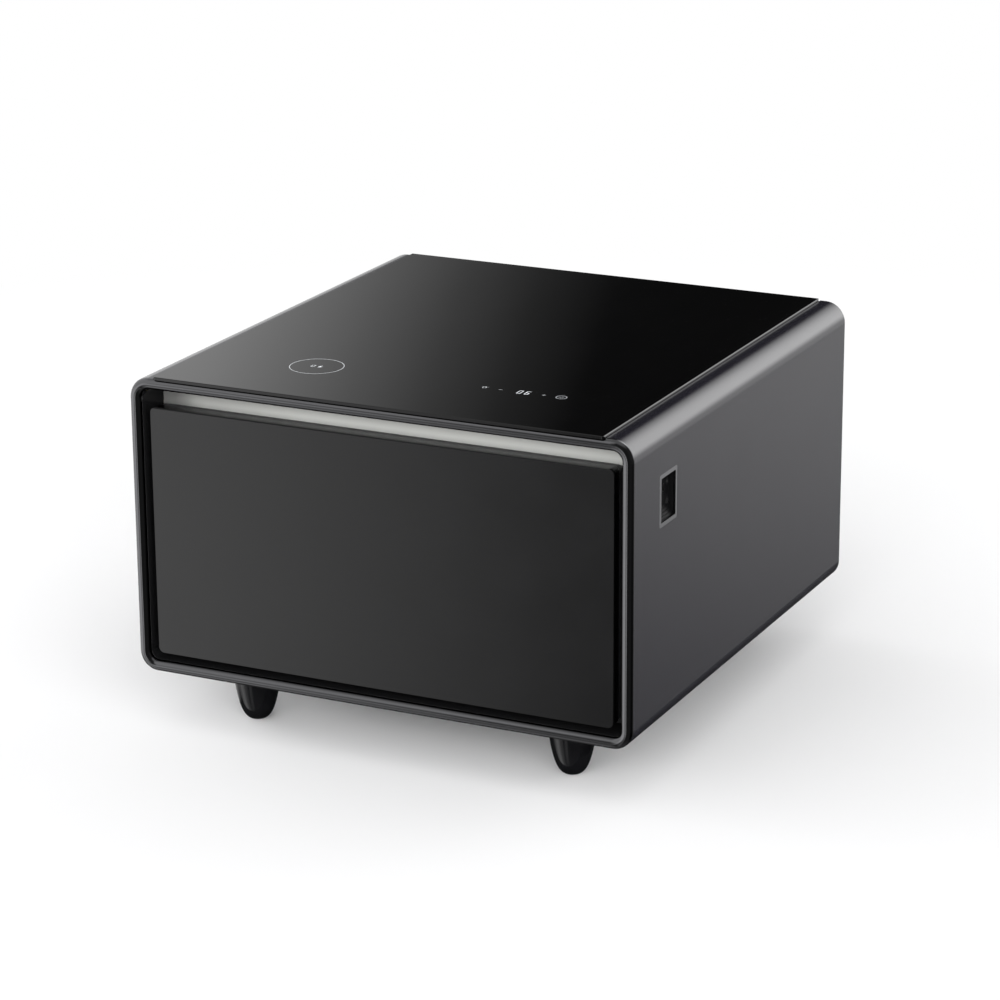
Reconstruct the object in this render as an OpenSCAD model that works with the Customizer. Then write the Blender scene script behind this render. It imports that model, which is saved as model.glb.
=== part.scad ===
// Refrigerator nightstand: a low cooled drawer cabinet on four feet, with a glass top that
// holds a charging pad and touch marks, and a side panel with charging sockets.
// Millimetres, +Z up. The front faces -Y. The origin is on the floor under the middle.

/* [Cabinet] */
// Width of the casing
body_w = 650; // [540:1:780]
// Depth of the casing, front edge to rear edge
body_d = 663; // [550:1:800]
// Height of the casing
body_h = 368.5; // [306:0.5:442]
// Thickness of the casing's sheet
casing_t = 1.2; // [1:0.1:1.6]
// Radius of the two long top edges
edge_r_top = 26; // [20:0.5:31]
// Radius of the two long bottom edges
edge_r_bottom = 24; // [20:0.5:29]

/* [Front frame] */
// Width of the frame's face
frame_face = 14; // [11.5:0.5:17]
// How far the half-round bead stands out in front of the casing
bead_out = 7; // [5.5:0.1:7.5]
// Thickness of the lining behind the bead
lining_t = 3; // [2:0.1:4]
// Depth of the spigot that fits inside the casing
spigot_depth = 14; // [8:0.5:20]
// Distance from the casing's front edge back to the light
light_setback = 49; // [47:0.5:59]
// Distance from the casing's front edge back to the seal's landing
mouth_setback = 41; // [37:0.5:45]

/* [Top glass] */
// Width of the bare strip between the glass and the casing's side
glass_margin = 34.5; // [32:0.5:45]
// Thickness of the glass
glass_t = 3.6; // [3:0.1:4.4]
// Depth to which the glass is let into the casing
glass_sink = 0.6; // [0.5:0.1:0.9]
// Gap round the glass
glass_gap = 0.8; // [0.5:0.1:1.5]
// Thickness of the adhesive seal under the glass
seal_t = 0.5; // [0.3:0.1:1]
// Width of the ledge that carries the glass
ledge_w = 28; // [20:1:36]

/* [Feet] */
// Height of a foot
foot_h = 74.5; // [50:0.5:90]
// Radius of a foot where it meets the casing
foot_r = 30.8; // [24:0.1:37]
// Radius of a foot's flat end
foot_tip_r = 9; // [6:0.5:11]
// Distance of a foot's axis from the side of the casing
foot_inset_x = 113; // [60:1:136]
// Distance of a foot's axis from the front and rear edges of the casing
foot_inset_y = 81.5; // [50:0.5:120]

/* [Cold compartment] */
// Wall from the casing's side to the liner
wall_side = 55; // [46:0.5:66]
// Wall from the casing's underside to the liner
wall_bottom = 50; // [40:0.5:60]
// Wall from the casing's top to the liner
wall_top = 71.5; // [64:0.5:85]
// Foam behind the liner
wall_rear = 45; // [36:0.5:54]
// Thickness of the liner
liner_t = 2; // [1.5:0.1:3]
// Depth of the machine bay behind the foam
bay_d = 147; // [142:0.5:176]

/* [Drawer front] */
// Gap between the drawer front and the frame at the sides
door_gap_side = 11; // [8:0.5:14]
// Gap between the drawer front and the frame at the bottom
door_gap_bottom = 9.5; // [7.5:0.5:14]
// Finger gap above the drawer front
door_gap_top = 22.5; // [18:0.5:27]
// Radius of the drawer front's corners
door_r = 7; // [5:0.5:10]
// Thickness of the drawer front's glass
door_glass_t = 4; // [3:0.1:5]
// Depth of the drawer front's edge frame
door_frame_d = 12; // [10:0.5:14.5]
// Depth of the drawer front's back pan
door_pan_d = 11; // [9:0.5:13]
// Thickness of the drawer front's walls
door_wall_t = 2.2; // [1.8:0.1:2.6]

/* [Drawer bin and runners] */
// Height of a runner
runner_h = 45; // [42:0.5:54]
// Thickness of a runner
runner_w = 12.7; // [12.2:0.1:13.5]
// Thickness of the runners' sheet
runner_t = 1.2; // [1:0.1:1.3]
// Radius of a bearing ball
ball_r = 1.6; // [1.4:0.05:1.7]
// Wall of the bin
bin_t = 2.5; // [2:0.1:3]
// Radius of the bin's upright corners
bin_r = 20; // [12:1:26]
// Gap between the bin and the liner's floor
bin_lift = 6; // [4:0.5:10]
// Space above the bin
bin_headroom = 32; // [24:1:40]
// Thickness of the carrier's sheet
carrier_t = 1.5; // [1.2:0.1:2]

/* [Side sockets] */
// Width of the socket bezel
bezel_w = 51; // [44:0.5:60]
// Height of the socket bezel
bezel_h = 63; // [54:0.5:75]
// Width of the bezel's rim
bezel_rim = 5; // [3.5:0.1:6]
// Depth of the recess that holds the sockets
recess_d = 9; // [7:0.5:11]
// Distance from the casing's front edge to the middle of the bezel
bezel_y = 96.9; // [80:0.1:120]
// Distance from the casing's top down to the middle of the bezel
bezel_drop = 92.3; // [85:0.1:110]

/* [Charging pad and touch marks] */
// Radius of the charging coil
coil_r = 25; // [20:0.5:30]
// Distance of the charging pad from the middle line
pad_x = 137.3; // [110:0.1:165]
// Distance of the charging pad behind the casing's front edge
pad_y = 114.6; // [95:0.1:138]
// Distance of the number display from the middle line
display_x = 131.5; // [109:0.5:158]

/* [Machine bay] */
// Radius of the compressor's shell
comp_r = 58; // [48:1:62]
// Height of the compressor's shell
comp_h = 140; // [116:1:168]
// Distance of the compressor's axis from the casing's side
comp_inset = 150; // [100:1:165]
// Radius of the fan's blades
fan_r = 54; // [44:0.5:58]
// Number of fan blades
fan_blades = 7; // [5:1:9]
// Number of tube rows in the condenser
cond_rows = 7; // [5:1:8]
// Distance between the condenser's tube rows
cond_pitch = 22; // [18:0.5:26]
// Number of condenser fins
cond_fins = 22; // [16:1:26]
// Number of louvres in one column of the back panel
louvres = 12; // [8:1:12]
// Length of one louvre
louvre_w = 88; // [70:1:105]

/* [Hidden] */
$fn = 64;

// Clearance between fixed neighbours
fit_gap = 0.3;

// Planes from front to rear
total_d = body_d + bead_out;
y_front = -total_d / 2;
y_edge = y_front + bead_out;
y_rear = total_d / 2;
mouth_y = y_edge + mouth_setback;
light_y = y_edge + light_setback;
light_back_y = light_y + 21;
bay_y = y_rear - bay_d;
liner_rear_y = bay_y - wall_rear;
panel_y = y_rear - 10;

// Levels from the floor up
z_base = foot_h;
z_top = foot_h + body_h;
glass_z = z_top - glass_sink;
tray_z = z_top - 24;

// The opening inside the front frame
open_hw = body_w / 2 - frame_face;
open_z0 = z_base + frame_face;
open_z1 = z_top - frame_face;
open_r_top = edge_r_top - frame_face;
open_r_bottom = edge_r_bottom - frame_face;
glass_hw = body_w / 2 - glass_margin;

// The cold compartment
liner_hw = body_w / 2 - wall_side;
liner_z0 = z_base + wall_bottom;
liner_z1 = z_top - wall_top;
liner_r = 12;
mouth_t = 3;
liner_y = mouth_y + mouth_t;
lip_w = 14;
light_z0 = liner_z1 + 25;
inside_t = casing_t + fit_gap;

// The drawer front
door_hw = open_hw - door_gap_side;
door_z0 = open_z0 + door_gap_bottom;
door_z1 = open_z1 - door_gap_top;
door_frame_y = y_edge + door_glass_t;
door_pan_y = door_frame_y + door_frame_d;
door_back_y = door_pan_y + door_pan_d;

// The runners and the bin
runner_z = liner_z1 - 75;
runner_len = liner_rear_y - liner_y - 30;
runner_y0 = liner_y + 4;
runner_y1 = runner_y0 + runner_len;
race = (runner_h / 2 - runner_t) - 2 * ball_r - 0.6;
carrier_hw = liner_hw - runner_w;
bin_hw = carrier_hw - carrier_t - 2.8;
bin_z0 = liner_z0 + bin_lift;
bin_z1 = liner_z1 - bin_headroom;
bin_y0 = door_back_y + 6;
bin_y1 = liner_rear_y - 24;
rim_t = 2.2;
carrier_z1 = bin_z1 - rim_t - fit_gap;
divider_x = 62;

// The socket panel
socket_y = y_edge + bezel_y;
socket_z = z_top - bezel_drop;
side_x = body_w / 2;
recess_w = bezel_w - 2 * bezel_rim;
recess_h = bezel_h - 2 * bezel_rim;

// The machine bay
bay_mid_y = (bay_y + panel_y) / 2;
floor_z = z_base + casing_t;
plate_t = 2;
grommet_h = 10;
comp_x = -(body_w / 2 - comp_inset);
comp_z = floor_z + plate_t + grommet_h;
comp_plate_t = 3;
shell_z = comp_z + comp_plate_t;
fan_x = body_w / 2 - 180;
fan_z = floor_z + plate_t + 76;
fan_hub_r = 17;
cond_x = body_w / 2 - 108;
cond_z = floor_z + plate_t + 22;
cond_tube_r = 3.5;
cond_hy = 46;
pipe_r = 3;
evap_x = -60;
evap_gap = 1;
evap_t = 1.6;
evap_y = liner_rear_y - evap_gap - evap_t;
suction_z = shell_z + 96;
evap_port_z = liner_z1 - 40;
capillary_x = -20;
drain_x = 0;
drain_z = liner_z0 + 10;
inlet_x = body_w / 2 - 36;
inlet_z = z_base + 46;
feet = [[-1, -1], [1, -1], [-1, 1], [1, 1]];
feet_y = body_d / 2 - foot_inset_y;
feet_x = body_w / 2 - foot_inset_x;
casing_mid_y = (y_edge + y_rear) / 2;

// A shape drawn in X and Z, drawn out from y0 to y1
module along_y(y0, y1) {
    translate([0, y1, 0]) rotate([90, 0, 0]) linear_extrude(y1 - y0) children();
}

// A shape drawn in Y and Z, drawn out from x0 to x1
module along_x(x0, x1) {
    translate([x0, 0, 0]) rotate([90, 0, 90]) linear_extrude(x1 - x0) children();
}

// A shape drawn in X and Y, drawn out from z0 to z1
module along_z(z0, z1) {
    translate([0, 0, z0]) linear_extrude(z1 - z0) children();
}

// A box between two corners
module span(a, b) {
    translate(a) cube(b - a);
}

// A rectangle with round corners, and one radius for the top pair and one for the bottom
module rounded(x0, z0, x1, z1, rt, rb) {
    polygon([[x0 + rb, z0], [x1 - rb, z0], [x1, z0 + rb], [x1, z1 - rt],
        [x1 - rt, z1], [x0 + rt, z1], [x0, z1 - rt], [x0, z0 + rb]]);
    for (x = [x0 + rt, x1 - rt]) translate([x, z1 - rt]) circle(rt);
    for (x = [x0 + rb, x1 - rb]) translate([x, z0 + rb]) circle(rb);
}

// The outline of the casing, drawn in by a distance, with the step that takes the glass
module casing_outline(inset) {
    step_z = glass_z - seal_t - inset;
    step_hw = glass_hw + glass_gap + inset;
    difference() {
        rounded(-body_w / 2 + inset, z_base + inset, body_w / 2 - inset, z_top - inset,
            edge_r_top - inset, edge_r_bottom - inset);
        translate([-step_hw, step_z]) square([2 * step_hw, body_h]);
    }
}

// Carries a profile round a rounded rectangle in the X and Z plane. The profile's X is the
// distance outward from the rectangle's line, and its Y is the distance towards the front.
module ring_sweep(hw, z0, z1, rt, rb) {
    turns = [[hw - rt, z1 - rt, rt, z1 - z0 - rt - rb], [rt - hw, z1 - rt, rt, 2 * (hw - rt)],
        [rb - hw, z0 + rb, rb, z1 - z0 - rt - rb], [hw - rb, z0 + rb, rb, 2 * (hw - rb)]];
    for (i = [0:3]) {
        t = turns[i];
        translate([t[0], 0, t[1]]) rotate([90, 0, 0]) rotate([0, 0, 90 * i]) {
            rotate_extrude(angle = 90) translate([t[2], 0]) children();
            translate([t[2], 0, 0]) rotate([90, 0, 0]) linear_extrude(t[3]) children();
        }
    }
}

function unit(v) = v / norm(v);

// A quarter bend that leaves direction u for direction v about the corner p
module bend(p, u, v, r, tube_r) {
    w = cross(u, v);
    c = p - u * r + v * r;
    multmatrix([[-v[0], u[0], w[0], c[0]], [-v[1], u[1], w[1], c[1]], [-v[2], u[2], w[2], c[2]]])
        rotate_extrude(angle = 90) translate([r, 0]) circle(tube_r);
}

// A straight length of tube between two points that differ along one axis
module rod(a, b, tube_r) {
    d = b - a;
    turn = abs(d[0]) > 0 ? [0, 90, 0] : abs(d[1]) > 0 ? [90, 0, 0] : [0, 0, 0];
    translate((a + b) / 2) rotate(turn) cylinder(r = tube_r, h = norm(d), center = true);
}

// A tube through points whose legs run along the axes, with round bends at the corners
module pipe(points, tube_r, r) {
    last = len(points) - 1;
    for (i = [0:last - 1]) {
        u = unit(points[i + 1] - points[i]);
        a = i == 0 ? points[i] : points[i] + u * r;
        b = i == last - 1 ? points[i + 1] : points[i + 1] - u * r;
        rod(a, b, tube_r);
        if (i < last - 1) bend(points[i + 1], u, unit(points[i + 2] - points[i + 1]), r, tube_r);
    }
}

// Copies a piece to both sides, as a mirror image
module both_sides() {
    children();
    mirror([1, 0, 0]) children();
}

// One side's piece: side is 1 for +X and -1 for -X
module on_side(side) {
    if (side > 0) children();
    else mirror([1, 0, 0]) children();
}

// ---- Casing, frame and top ----

// The wrapped sheet: four sides, round long edges, and a stepped ledge under the glass
module outer_casing() {
    color("#55555a") difference() {
        along_y(y_edge, y_rear) difference() {
            casing_outline(0);
            casing_outline(casing_t);
        }
        along_z(glass_z - 20, z_top + 5) {
            x = glass_hw - ledge_w;
            translate([-x, y_edge + ledge_w]) square([2 * x, bay_y - y_edge - 2 * ledge_w]);
        }
        along_x(side_x - 20, side_x + 1) socket_outline(fit_gap);
        for (f = feet) translate([f[0] * feet_x, casing_mid_y + f[1] * feet_y, z_base - 1])
            cylinder(r = stud_r + fit_gap, h = casing_t + 2);
    }
}

// The bezel's outline in Y and Z, grown by a distance
module socket_outline(grow) {
    rounded(socket_y - bezel_w / 2 - grow, socket_z - bezel_h / 2 - grow,
        socket_y + bezel_w / 2 + grow, socket_z + bezel_h / 2 + grow, 3 + grow, 3 + grow);
}

// The section of the front frame: a half-round bead, a spigot inside the casing, and the
// thin lining that runs back to the light
module frame_section() {
    bead_r = (pow(frame_face / 2, 2) + pow(bead_out, 2)) / (2 * bead_out);
    intersection() {
        translate([frame_face / 2, bead_out - bead_r]) circle(bead_r);
        square([frame_face, bead_out + 1]);
    }
    translate([0, -spigot_depth]) square([frame_face - casing_t - fit_gap, spigot_depth]);
    translate([0, -light_setback]) square([lining_t, light_setback]);
}

module front_frame() {
    color("#3c3d40") difference() {
        translate([0, y_edge, 0])
            ring_sweep(open_hw, open_z0, open_z1, open_r_top, open_r_bottom) frame_section();
        span([-glass_hw - glass_gap - casing_t - fit_gap, y_front - 1, glass_z - fit_gap],
            [glass_hw + glass_gap + casing_t + fit_gap, y_edge, z_top + 5]);
        span([-glass_hw - glass_gap - casing_t - fit_gap, y_edge - 0.01,
            glass_z - seal_t - casing_t - fit_gap],
            [glass_hw + glass_gap + casing_t + fit_gap, light_y + 5, z_top + 5]);
    }
}

// A pane whose upper and lower rims are chamfered all round
module chamfered_pane(hw, y0, y1, z0, z1, r, c) {
    intersection() {
        along_z(z0, z1) rounded(-hw, y0, hw, y1, r, r);
        along_y(y0 - 1, y1 + 1)
            polygon([[-hw, z0], [hw, z0], [hw, z1 - c], [hw - c, z1], [c - hw, z1], [-hw, z1 - c]]);
        along_x(-hw - 1, hw + 1)
            polygon([[y0, z0], [y1, z0], [y1, z1 - c], [y1 - c, z1], [y0 + c, z1], [y0, z1 - c]]);
    }
}

module top_glass() {
    color("#111113")
        chamfered_pane(glass_hw, y_front, y_rear - 2, glass_z, glass_z + glass_t, 3, 0.7);
}

// The adhesive tape between the ledge and the glass
module glass_seal() {
    tape_w = 12;
    color("#1a1a1a") along_z(glass_z - seal_t, glass_z) difference() {
        translate([-glass_hw + 2, y_edge + 2])
            square([2 * glass_hw - 4, y_rear - y_edge - 6]);
        translate([-glass_hw + 2 + tape_w, y_edge + 2 + tape_w])
            square([2 * (glass_hw - 2 - tape_w), y_rear - y_edge - 6 - 2 * tape_w]);
    }
}

tray_hw = glass_hw - ledge_w - 1;
tray_y0 = light_back_y + 1;
tray_y1 = tray_y0 + 170;
pad_at = [-pad_x, y_edge + pad_y];
board_z = glass_z - 4.6;

// The shallow tray under the glass, with a ring seat for the coil and posts for the boards
module electronics_tray() {
    wall = 2;
    color("#2a2a2c") {
        difference() {
            span([-tray_hw, tray_y0, tray_z], [tray_hw, tray_y1, glass_z - seal_t]);
            span([wall - tray_hw, tray_y0 + wall, tray_z + wall],
                [tray_hw - wall, tray_y1 - wall, z_top]);
        }
        translate([pad_at[0], pad_at[1], tray_z + wall]) difference() {
            cylinder(r = coil_r + 8, h = glass_z - 4 - tray_z - wall);
            translate([0, 0, -1]) cylinder(r = coil_r + 4, h = 60);
        }
        translate([pad_at[0], pad_at[1], tray_z + wall]) difference() {
            cylinder(r = coil_r - 2, h = coil_z - tray_z - wall);
            translate([0, 0, -1]) cylinder(r = coil_r - 5, h = 60);
        }
        for (x = [display_x - 64, display_x + 64], y = [-12, 12])
            translate([x, pad_at[1] + y, tray_z + wall])
                cylinder(r = 3, h = board_z - tray_z - wall);
        for (x = [charger_x0 + 4, charger_x0 + 56], y = [-30, 30])
            translate([x, pad_at[1] + y, tray_z + wall]) cylinder(r = 3, h = 3);
    }
}

coil_z = glass_z - 5;
charger_x0 = -pad_x + coil_r + 14;

// The flat spiral coil on its ferrite disc
module charging_coil() {
    turns = 9;
    wire = 1.1;
    color("#b87333") translate([pad_at[0], pad_at[1], coil_z]) {
        cylinder(r = coil_r + 1.5, h = 1.4);
        for (i = [0:turns - 1])
            rotate_extrude() translate([coil_r - 0.6 - i * (wire + 0.35), 1.4])
                circle(wire / 2, $fn = 24);
    }
}

// The pad's driver board, with its chips and capacitors
module charger_board() {
    z = tray_z + 2 + 3;
    color("#1f4d33") {
        span([charger_x0, pad_at[1] - 34, z], [charger_x0 + 60, pad_at[1] + 34, z + 1.6]);
        for (i = [0:3]) translate([charger_x0 + 10 + i * 13, pad_at[1] + 22, z + 1.6])
            cylinder(r = 4, h = 9);
        span([charger_x0 + 14, pad_at[1] - 12, z + 1.6],
            [charger_x0 + 30, pad_at[1] + 4, z + 3.2]);
        span([charger_x0 + 36, pad_at[1] - 24, z + 1.6],
            [charger_x0 + 50, pad_at[1] - 10, z + 6]);
    }
}

// The touch board: a strip with a raised pad under each mark and a number display
module touch_board() {
    color("#17301f") {
        span([display_x - 70, pad_at[1] - 16, board_z],
            [display_x + 70, pad_at[1] + 16, board_z + 1.6]);
        span([display_x - 13, pad_at[1] - 11, board_z + 1.6],
            [display_x + 13, pad_at[1] + 11, glass_z - fit_gap]);
        for (x = [-51, -26, 28, 50]) translate([display_x + x, pad_at[1], board_z + 1.6])
            cylinder(r = 6, h = 2.6);
    }
}

// ---- Light above the drawer ----

module light_diffuser() {
    color("#f2f0e8")
        span([-open_hw + fit_gap, light_y, light_z0], [open_hw - fit_gap, light_y + 3,
            open_z1 - fit_gap]);
}

// The trough behind the diffuser, open to the front
module light_housing() {
    color("#e8e8e8") difference() {
        span([-open_hw + fit_gap, light_y + 3, light_z0], [open_hw - fit_gap, light_back_y,
            open_z1 - fit_gap]);
        span([-open_hw + 3, light_y + 2, light_z0 + 2], [open_hw - 3, light_back_y - 2,
            open_z1 - 2]);
    }
}

// The strip of lamps on the trough's back wall
module led_strip() {
    strip_hw = open_hw - 25;
    lamps = 24;
    mid_z = (light_z0 + open_z1) / 2;
    color("#f5f2d8") {
        span([-strip_hw, light_back_y - 3.6, mid_z - 5], [strip_hw, light_back_y - 2, mid_z + 5]);
        for (i = [0:lamps - 1]) {
            x = -strip_hw + 12 + i * (2 * strip_hw - 24) / (lamps - 1);
            span([x - 2.5, light_back_y - 5.2, mid_z - 2.5], [x + 2.5, light_back_y - 3.6,
                mid_z + 2.5]);
        }
    }
}

// ---- Cold compartment ----

module liner_outline(grow) {
    rounded(-liner_hw - grow, liner_z0 - grow, liner_hw + grow, liner_z1 + grow,
        liner_r + grow, liner_r + grow);
}

// The ring that the drawer's seal lands on, with a rib that closes the step to the light
module mouth_frame() {
    z1 = light_z0 - fit_gap;
    color("#18181a") {
        along_y(mouth_y, liner_y) difference() {
            rounded(-open_hw + 0.5, open_z0 + 0.5, open_hw - 0.5, z1, 4, open_r_bottom);
            liner_outline(0);
        }
        span([-open_hw + 5, liner_y - 0.01, z1 - 2], [open_hw - 5, light_y + 6, z1]);
    }
}

// The moulded tub, with a lip behind the mouth ring
module liner() {
    color("#e4e6e8") difference() {
        union() {
            along_y(liner_y, liner_rear_y + liner_t) liner_outline(liner_t);
            along_y(liner_y, liner_y + liner_t) liner_outline(lip_w);
        }
        along_y(liner_y - 1, liner_rear_y) liner_outline(0);
        wall_ports(fit_gap, liner_rear_y - 1, liner_rear_y + liner_t + 1);
    }
}

// The holes that the pipes take through the rear wall
module wall_ports(grow, y0, y1) {
    rod([evap_x, y0, evap_port_z], [evap_x, y1, evap_port_z], pipe_r + grow);
    rod([capillary_x, y0, evap_port_z], [capillary_x, y1, evap_port_z], 1 + grow);
    rod([drain_x, y0, drain_z], [drain_x, y1, drain_z], 6 + grow);
}

// The foam between the liner and the casing
module insulation() {
    hw = body_w / 2 - inside_t;
    foam_z1 = tray_z - fit_gap;
    y0 = liner_y + liner_t + fit_gap;
    lamp_y = light_back_y + fit_gap;
    color("#e9dfae") difference() {
        union() {
            along_y(light_y + fit_gap, bay_y - 1.5) intersection() {
                casing_outline(inside_t);
                translate([-hw, z_base]) square([2 * hw, foam_z1 - z_base]);
            }
            along_y(y0, light_y + 1) rounded(-open_hw + 1, open_z0 + 1, open_hw - 1,
                light_z0 - 3, 5, open_r_bottom);
            along_y(tray_y1 + 1, bay_y - 1.5) intersection() {
                casing_outline(inside_t);
                translate([-hw, z_base]) square([2 * hw, body_h]);
            }
            span([-tray_hw, tray_y1 + 1, foam_z1 - 1], [tray_hw, bay_y - ledge_w - 1,
                glass_z - fit_gap]);
        }
        along_y(y0 - 10, liner_rear_y + liner_t + fit_gap) liner_outline(liner_t + fit_gap);
        span([-hw - 1, light_y - 20, light_z0 - fit_gap - 2], [hw + 1, lamp_y, z_top]);
        along_x(side_x - socket_depth - 2, side_x + 1) socket_outline(1);
        wall_ports(fit_gap, liner_rear_y, bay_y + 1);
        foot_pockets(z_base + 10);
    }
}

// Clearance round the nuts of the feet, up to a level
module foot_pockets(z1) {
    for (f = feet) translate([f[0] * feet_x, casing_mid_y + f[1] * feet_y, z_base])
        cylinder(r = nut_r + 1.5, h = z1 - z_base);
}

// The cold plate: sheet with a raised channel that winds over it, on four standoffs
module evaporator_plate() {
    hw = liner_hw - 60;
    z0 = liner_z0 + 36;
    z1 = liner_z1 - 24;
    rows = 6;
    pitch = (z1 - z0 - 40) / (rows - 1);
    reach = hw - 34;
    color("#c9ccd0") {
        along_y(evap_y, evap_y + evap_t) rounded(-hw, z0, hw, z1, 8, 8);
        along_y(evap_y - 1.8, evap_y + 0.1) for (i = [0:rows - 1]) {
            z = z0 + 20 + i * pitch;
            side = i % 2 == 0 ? 1 : -1;
            translate([-reach, z - channel_w / 2]) square([2 * reach, channel_w]);
            if (i < rows - 1) translate([side * reach, z + pitch / 2]) intersection() {
                difference() {
                    circle((pitch + channel_w) / 2);
                    circle((pitch - channel_w) / 2);
                }
                translate([side > 0 ? 0 : -pitch, -pitch]) square([pitch, 2 * pitch]);
            }
        }
        for (x = [-hw + 12, hw - 12], z = [z0 + 12, z1 - 12])
            rod([x, evap_y + evap_t / 2, z], [x, liner_rear_y, z], 3);
        rod([evap_x, evap_y + evap_t / 2, evap_port_z], [evap_x, liner_rear_y - 0.2, evap_port_z],
            pipe_r);
    }
}

channel_w = 8;

// ---- Machine bay ----

module bay_partition() {
    color("#a9abad") difference() {
        along_y(bay_y - 1.2, bay_y) intersection() {
            casing_outline(inside_t);
            translate([-body_w, z_base]) square([2 * body_w, body_h]);
        }
        wall_ports(fit_gap, bay_y - 3, bay_y + 2);
    }
}

// The floor of the bay: sheet with turned-up edges and pressed seats for the grommets
module base_plate() {
    hw = body_w / 2 - edge_r_bottom - 2;
    y0 = bay_y + 1;
    y1 = panel_y - panel_flange - 1;
    color("#8d9094") difference() {
        union() {
            span([-hw, y0, floor_z], [hw, y1, floor_z + plate_t]);
            span([-hw, y0, floor_z], [hw, y0 + plate_t, floor_z + 14]);
        }
        for (p = grommet_at) translate([p[0], p[1], floor_z - 1]) cylinder(r = 3.2, h = 6);
        foot_pockets(z_base + 10);
    }
}

grommet_at = [for (x = [-1, 1], y = [-1, 1])
    [comp_x + x * (comp_r + 14), bay_mid_y + y * 38]];

// The sealed compressor: two drawn halves with a welded joint, feet plate and pipe stubs
module compressor() {
    rr = 24;
    mid = comp_h * 0.46;
    color("#1c1c1f") {
        translate([comp_x, bay_mid_y, shell_z]) rotate_extrude() {
            square([comp_r - rr, comp_h]);
            translate([0, rr]) square([comp_r, comp_h - 2 * rr]);
            for (z = [rr, comp_h - rr]) intersection() {
                translate([comp_r - rr, z]) circle(rr);
                square([comp_r + 1, comp_h + 1]);
            }
            translate([0, mid]) square([comp_r + 2, 5]);
        }
        difference() {
            union() {
                span([comp_x - comp_r - 24, bay_mid_y - 16, comp_z],
                    [comp_x + comp_r + 24, bay_mid_y + 16, shell_z + 2]);
                for (s = [-1, 1])
                    span([comp_x + s * (comp_r + 14) - 10, bay_mid_y - 48, comp_z],
                        [comp_x + s * (comp_r + 14) + 10, bay_mid_y + 48, shell_z]);
            }
            for (p = grommet_at) translate([p[0], p[1], comp_z - 1]) cylinder(r = 5.2, h = 8);
        }
        rod([comp_x + comp_r - 6, bay_mid_y + 18, suction_z],
            [comp_x + comp_r + 6, bay_mid_y + 18, suction_z], pipe_r + 1);
        rod([comp_x + comp_r - 6, bay_mid_y - 18, suction_z - 40],
            [comp_x + comp_r + 6, bay_mid_y - 18, suction_z - 40], pipe_r + 1);
    }
}

// Four rubber grommets, waisted to hold the feet plate
module compressor_grommets() {
    color("#151515") for (p = grommet_at) translate([p[0], p[1], floor_z + plate_t])
        rotate_extrude() difference() {
            union() {
                translate([3, 0]) square([6.5, grommet_h - 0.05]);
                translate([3, 0]) square([2, grommet_h + comp_plate_t + 3]);
                translate([3, grommet_h + comp_plate_t + 0.05]) square([5, 3]);
            }
            translate([9.8, grommet_h / 2]) circle(2, $fn = 32);
        }
}

module start_relay() {
    x = comp_x - comp_r;
    color("#2b2b2e") difference() {
        span([x - 24, bay_mid_y - 20, shell_z + 58], [x + 6, bay_mid_y + 20, shell_z + 102]);
        translate([comp_x, bay_mid_y, shell_z]) cylinder(r = comp_r + 2.3, h = comp_h);
    }
}

function cond_row_z(i) = cond_z + i * cond_pitch;

// The condenser's tube: rows that run across the bay, joined by return bends
module condenser_tube() {
    last = cond_rows - 1;
    points = [for (i = [0:last]) let (s = i % 2 == 0 ? 1 : -1, z = cond_row_z(i))
        each [[cond_x, bay_mid_y + s * (cond_hy + (i == 0 ? 2 : 12)), z],
            [cond_x, bay_mid_y - s * (cond_hy + (i == last ? 2 : 12)), z]]];
    color("#b5643c") pipe(points, cond_tube_r, 9);
}

module condenser_fins() {
    half_x = 16;
    z0 = cond_z - 12;
    z1 = cond_row_z(cond_rows - 1) + 12;
    step = 2 * (cond_hy - 2) / (cond_fins - 1);
    color("#c4c7ca") {
        for (i = [0:cond_fins - 1]) {
            y = bay_mid_y - cond_hy + 2 + i * step;
            difference() {
                span([cond_x - half_x, y - 0.25, z0], [cond_x + half_x, y + 0.25, z1]);
                for (k = [0:cond_rows - 1])
                    rod([cond_x, y - 1, cond_row_z(k)], [cond_x, y + 1, cond_row_z(k)],
                        cond_tube_r + 0.1);
            }
        }
        for (x = [cond_x - half_x, cond_x + half_x - 1], z = [z0 - 1, z1 - 0.01])
            span([x - 1, bay_mid_y - cond_hy, z], [x + 2, bay_mid_y + cond_hy, z + 1]);
        for (x = [cond_x - half_x - 1, cond_x + half_x - 1])
            span([x, bay_mid_y - 12, floor_z + plate_t], [x + 2, bay_mid_y + 12, z0 - 1]);
    }
}

shroud_h = 2 * fan_r + 14;
shroud_t = 22;

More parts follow.
